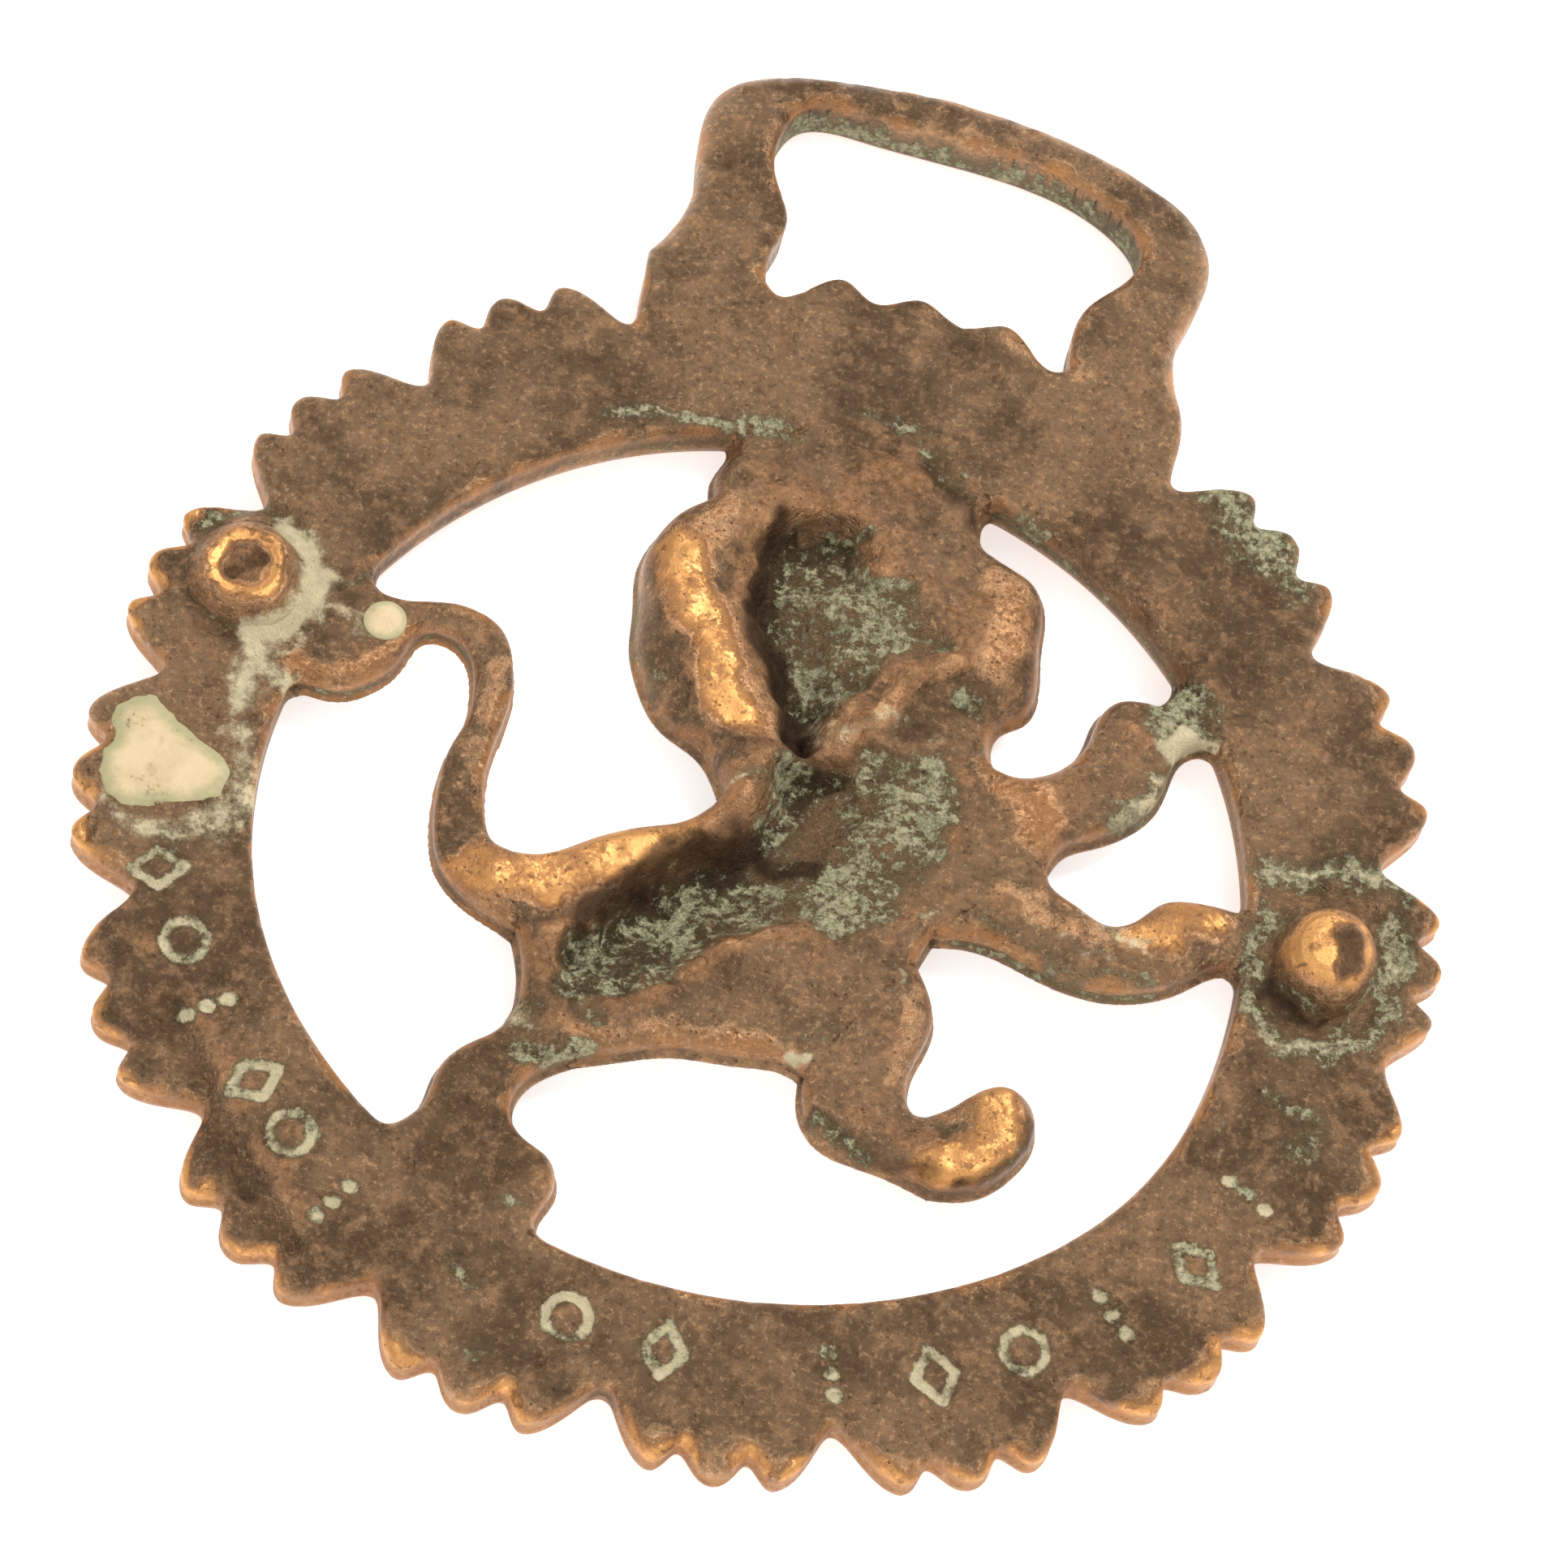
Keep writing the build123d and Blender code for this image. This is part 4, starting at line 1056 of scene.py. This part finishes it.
def polar_piece(centre, radii, heights, wobble):
    """Points and faces of a round piece from its middle out; wobble gives each ring's stretch and lift."""
    turns = np.linspace(0, 2 * math.pi, SEGMENTS, endpoint=False)
    rows = []
    for radius, height in zip(radii, heights):
        stretch, lift = wobble(radius, turns)
        ring_x = centre[0] + radius * stretch * np.cos(turns)
        ring_y = centre[1] + radius * stretch * np.sin(turns)
        rows.append(np.stack([ring_x, ring_y, height + lift + 0 * turns], axis=1))
    here = np.arange(SEGMENTS)
    after = np.roll(here, -1)
    quads = [
        np.stack([r + here, r + SEGMENTS + here, r + SEGMENTS + after, r + after], axis=1)
        for r in SEGMENTS * np.arange(len(radii) - 1)
    ]
    return np.vstack(rows), np.vstack(quads)


def closed_piece(name, vertices, quads):
    """A piece from rings of points, whose first and last rings are drawn together to a point each."""
    vertices[:SEGMENTS] = vertices[:SEGMENTS].mean(0)
    vertices[-SEGMENTS:] = vertices[-SEGMENTS:].mean(0)
    piece = new_mesh(name, vertices, quads)
    weld(piece)
    return piece


def wavy(turns, seed, size):
    """A gentle uneven wave round a circle."""
    chance = np.random.default_rng(seed)
    return sum(size / k * np.sin(k * turns + chance.uniform(0, 6.28)) for k in (2, 3, 5, 8))


def paint_lug(piece, centre, top, seed, rim, pits):
    """Bright between the two radii of rim, with stains in the pits, and green with painted shade at the foot.
    """
    x, y, _ = plan_points(piece)
    away = np.hypot(x - centre[0], y - centre[1])
    away = away + 0.25 * sample(noise(1.2, seed), x, y) + 0.15 * sample(noise(0.5, seed + 1), x, y)
    torn = 0.45 * sample(noise(0.8, seed + 2), x, y)
    hollow = sum(1 - ease(np.hypot(x - centre[0] - px, y - centre[1] - py) + torn, 0, size)
                 for px, py, size, _ in pits)
    bright = ease(away, rim[0] - 0.5, rim[0] + 0.4) * (1 - ease(away, rim[1] - 0.5, rim[1] + 0.5))
    # stains in the pits, and painted shade toward the foot
    pit_stain_and_foot_shade = np.clip(1.1 * hollow + 0.6 * ease(away, 0.9 * top, top), 0, 1)
    store(piece, "gold", bright * (1 - 0.85 * np.clip(hollow * 1.3, 0, 1)))
    store(piece, "copper", 0.5 + 0 * x)
    store(piece, "green", 0.6 * ease(away, 0.86 * top, top))
    store(piece, "cream", sample(cream, x, y) * ease(away, 0.6 * top, top))
    store(piece, "dark", 0.55 * pit_stain_and_foot_shade)


def lug(name, centre, profile, seed, lean, rim, stretch, pits):
    """A casting lug: a low rounded stump with a profile of radii and heights, and small pits on its top."""
    top = profile[-1][0]
    radii = np.array([0.02, *np.linspace(0.1, 1, 46)]) * top
    heights = np.interp(radii, *zip(*profile))
    radii = np.concatenate([radii, [top, 0.02]])
    heights = np.concatenate([heights, [-1, -1]])

    def wobble(radius, turns):
        share = radius / top
        lift = (lean[0] * np.cos(turns) + lean[1] * np.sin(turns)) * share
        x, y = radius * np.cos(turns), radius * np.sin(turns)
        for px, py, size, deep in pits:
            lift = lift - deep * (1 - ease(np.hypot(x - px, y - py), 0, size))
        return 1.0 + wavy(turns, seed, 0.03) * share, lift

    vertices, quads = polar_piece(centre, radii, heights, wobble)
    vertices[:, 1] = centre[1] + (vertices[:, 1] - centre[1]) * stretch
    piece = closed_piece(name, vertices, quads)
    paint_lug(piece, centre, top, seed, rim, pits)
    finish_piece(piece, PATINA, "worn_brass", name)


def left_casting_lug():
    """A dimpled stump with a bright rim round its dimple."""
    lug("left_casting_lug", (LEFT_LUG_AT[0], LEFT_LUG_AT[1] + 0.1),
        [(0, 0.95), (0.9, 0.98), (1.4, 1.1), (1.9, 1.22), (2.3, 1.16), (2.7, 0.8), (3.1, 0.25), (3.35, -0.2)],
        seed=11, lean=(0.05, 0.12), rim=(1.3, 2.35), stretch=1.04,
        pits=((0.1, 0.1, 1.5, 0.1), (-0.5, -0.5, 0.9, 0.1), (0.5, 0.6, 0.8, 0.12)))


def right_casting_lug():
    """A taller stud, worn bright and pitted on its top."""
    lug("right_casting_lug", (RIGHT_LUG_AT[0], RIGHT_LUG_AT[1] - 0.1),
        [(0, 2.3), (1.1, 2.26), (1.7, 2.1), (2.2, 1.75), (2.5, 1.3), (2.7, 0.8), (2.85, 0.3), (2.95, -0.1)],
        seed=12, lean=(0.35, 0.3), rim=(-1, 2.4), stretch=1.12,
        pits=((0.8, 0.8, 1, 0.07), (0.8, 0, 0.9, 0.05), (1.4, -0.4, 0.8, 0.05), (0.9, -1.3, 0.7, 0.05)))


def residue_spot():
    """A disc of dried polish that fills a small sunk place on the tail's tuft."""
    level = float(sample(back, np.array([SPOT_AT[0]]), np.array([SPOT_AT[1]]))[0])
    edge_r = 1.24
    radii = np.concatenate([[0.02], np.linspace(0.08, 1, 24) * 1.2, [edge_r, 1.2, 0.02]])
    crown = level + 0.1 + 0.05 * (1 - (radii / edge_r) ** 2)
    crown[-3:] = level - 0.05, level - 0.45, level - 0.45

    def wobble(radius, turns):
        return 1.0 + wavy(turns, 21, 0.02), 0.012 * np.sin(7 * turns + 3 * radius)

    piece = closed_piece("polish_residue_spot", *polar_piece(SPOT_AT, radii, crown, wobble))
    x, y, _ = plan_points(piece)
    store(piece, "rim", ease(np.hypot(x - SPOT_AT[0], y - SPOT_AT[1]), 0.5, 1.3))
    finish_piece(piece, CHALK, "dried_polish", "polish_residue_spot")


def residue_patch():
    """A thin film of dried polish on the ring, following the metal under it."""
    area = soften(signed(np.array(RESIDUE_EDGE)), 0.12) + 0.1 * noise(1.2, 31) + 0.07 * noise(0.45, 33)
    area = np.maximum(area, plan + 0.5)
    window = window_round(area < 0.5, 3)
    z = GRID_Z[None, None, :]
    top = (back + 0.11 * ease(-area, -0.05, 0.5) + 0.015 * noise(0.5, 32))[window][:, :, None]
    sheet = np.maximum(z - top, top - 0.34 - z)
    field = np.maximum(sheet, area[window][:, :, None] * 0.6)
    piece = new_mesh("polish_residue_patch", *surface_net(field, window_origin(window), STEP))
    x, y, _ = plan_points(piece)
    store(piece, "rim", ease(sample(area, x, y), -1.6, 0))
    finish_piece(piece, CHALK, "dried_polish", "polish_residue_patch")


# ---- floor, light and camera
FLOOR_SIZE = 3.0
FLOOR_GAP = 0.02 * MM  # keeps the floor clear of the faces that rest on it


def pale_floor():
    bpy.ops.mesh.primitive_plane_add(size=FLOOR_SIZE, location=(0, 0, CAD_BOX[0].z - FLOOR_GAP))
    floor = bpy.context.object
    floor.name = "floor"
    paper = Nodes("pale_floor")
    paper.put(paper.shader.inputs["Base Color"], srgb(250, 250, 250))
    paper.put(paper.shader.inputs["Roughness"], 0.9)
    paper.put(paper.shader.inputs["Emission Color"], srgb(255, 255, 255))
    paper.put(paper.shader.inputs["Emission Strength"], 0.6)
    floor.data.materials.append(paper.material)


def studio_world():
    world = bpy.data.worlds.new("studio")
    world.use_nodes = True
    background = world.node_tree.nodes["Background"]
    background.inputs["Color"].default_value = (1, 1, 1, 1)
    background.inputs["Strength"].default_value = 0.68
    bpy.context.scene.world = world
    bpy.context.scene.view_settings.view_transform = "Standard"


def softbox(name, place_mm, size_mm, watts):
    """A square area light aimed at the middle of the casting."""
    light = bpy.data.lights.new(name, "AREA")
    light.shape = "SQUARE"
    light.size = size_mm * MM
    light.energy = watts
    lamp = bpy.data.objects.new(name, light)
    lamp.location = Vector(place_mm) * MM
    lamp.rotation_mode = "QUATERNION"
    lamp.rotation_quaternion = (-lamp.location).to_track_quat("-Z", "Y")
    bpy.context.scene.collection.objects.link(lamp)


TILT, ROLL, TURN = math.radians(60.959), math.radians(16.558), math.radians(-0.537)
AIM = (-0.741, 3.7595)
CAMERA_AWAY = 260.0
LENS, SENSOR = 107.978, 36.0


def photo_camera():
    """Looks down at the back from the lower side, rolled as the photograph is."""
    away = Vector((math.sin(TURN) * math.cos(TILT), -math.cos(TURN) * math.cos(TILT), math.sin(TILT)))
    right = Vector((math.cos(TURN), math.sin(TURN), 0))
    up = away.cross(right)
    rolled_right = math.cos(ROLL) * right + math.sin(ROLL) * up
    rolled_up = math.cos(ROLL) * up - math.sin(ROLL) * right
    data = bpy.data.cameras.new("camera")
    data.lens = LENS
    data.sensor_width = SENSOR
    data.clip_start = 0.01
    data.clip_end = 10.0
    camera = bpy.data.objects.new("camera", data)
    stand = (Vector((*AIM, 0)) + away * CAMERA_AWAY) * MM + Vector(PLACE)
    turned = Matrix((rolled_right, rolled_up, away)).transposed().to_4x4()
    camera.matrix_world = Matrix.Translation(stand) @ turned
    bpy.context.scene.collection.objects.link(camera)
    bpy.context.scene.camera = camera


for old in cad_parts.values():
    old.name = "cad_" + old.name
for node in REGIONS:
    casting_piece(node)
left_casting_lug()
right_casting_lug()
residue_spot()
residue_patch()
pale_floor()
studio_world()
softbox("key", (150, 250, 430), 280, 2.8)
softbox("front_fill", (-60, -420, 200), 360, 0.9)
photo_camera()
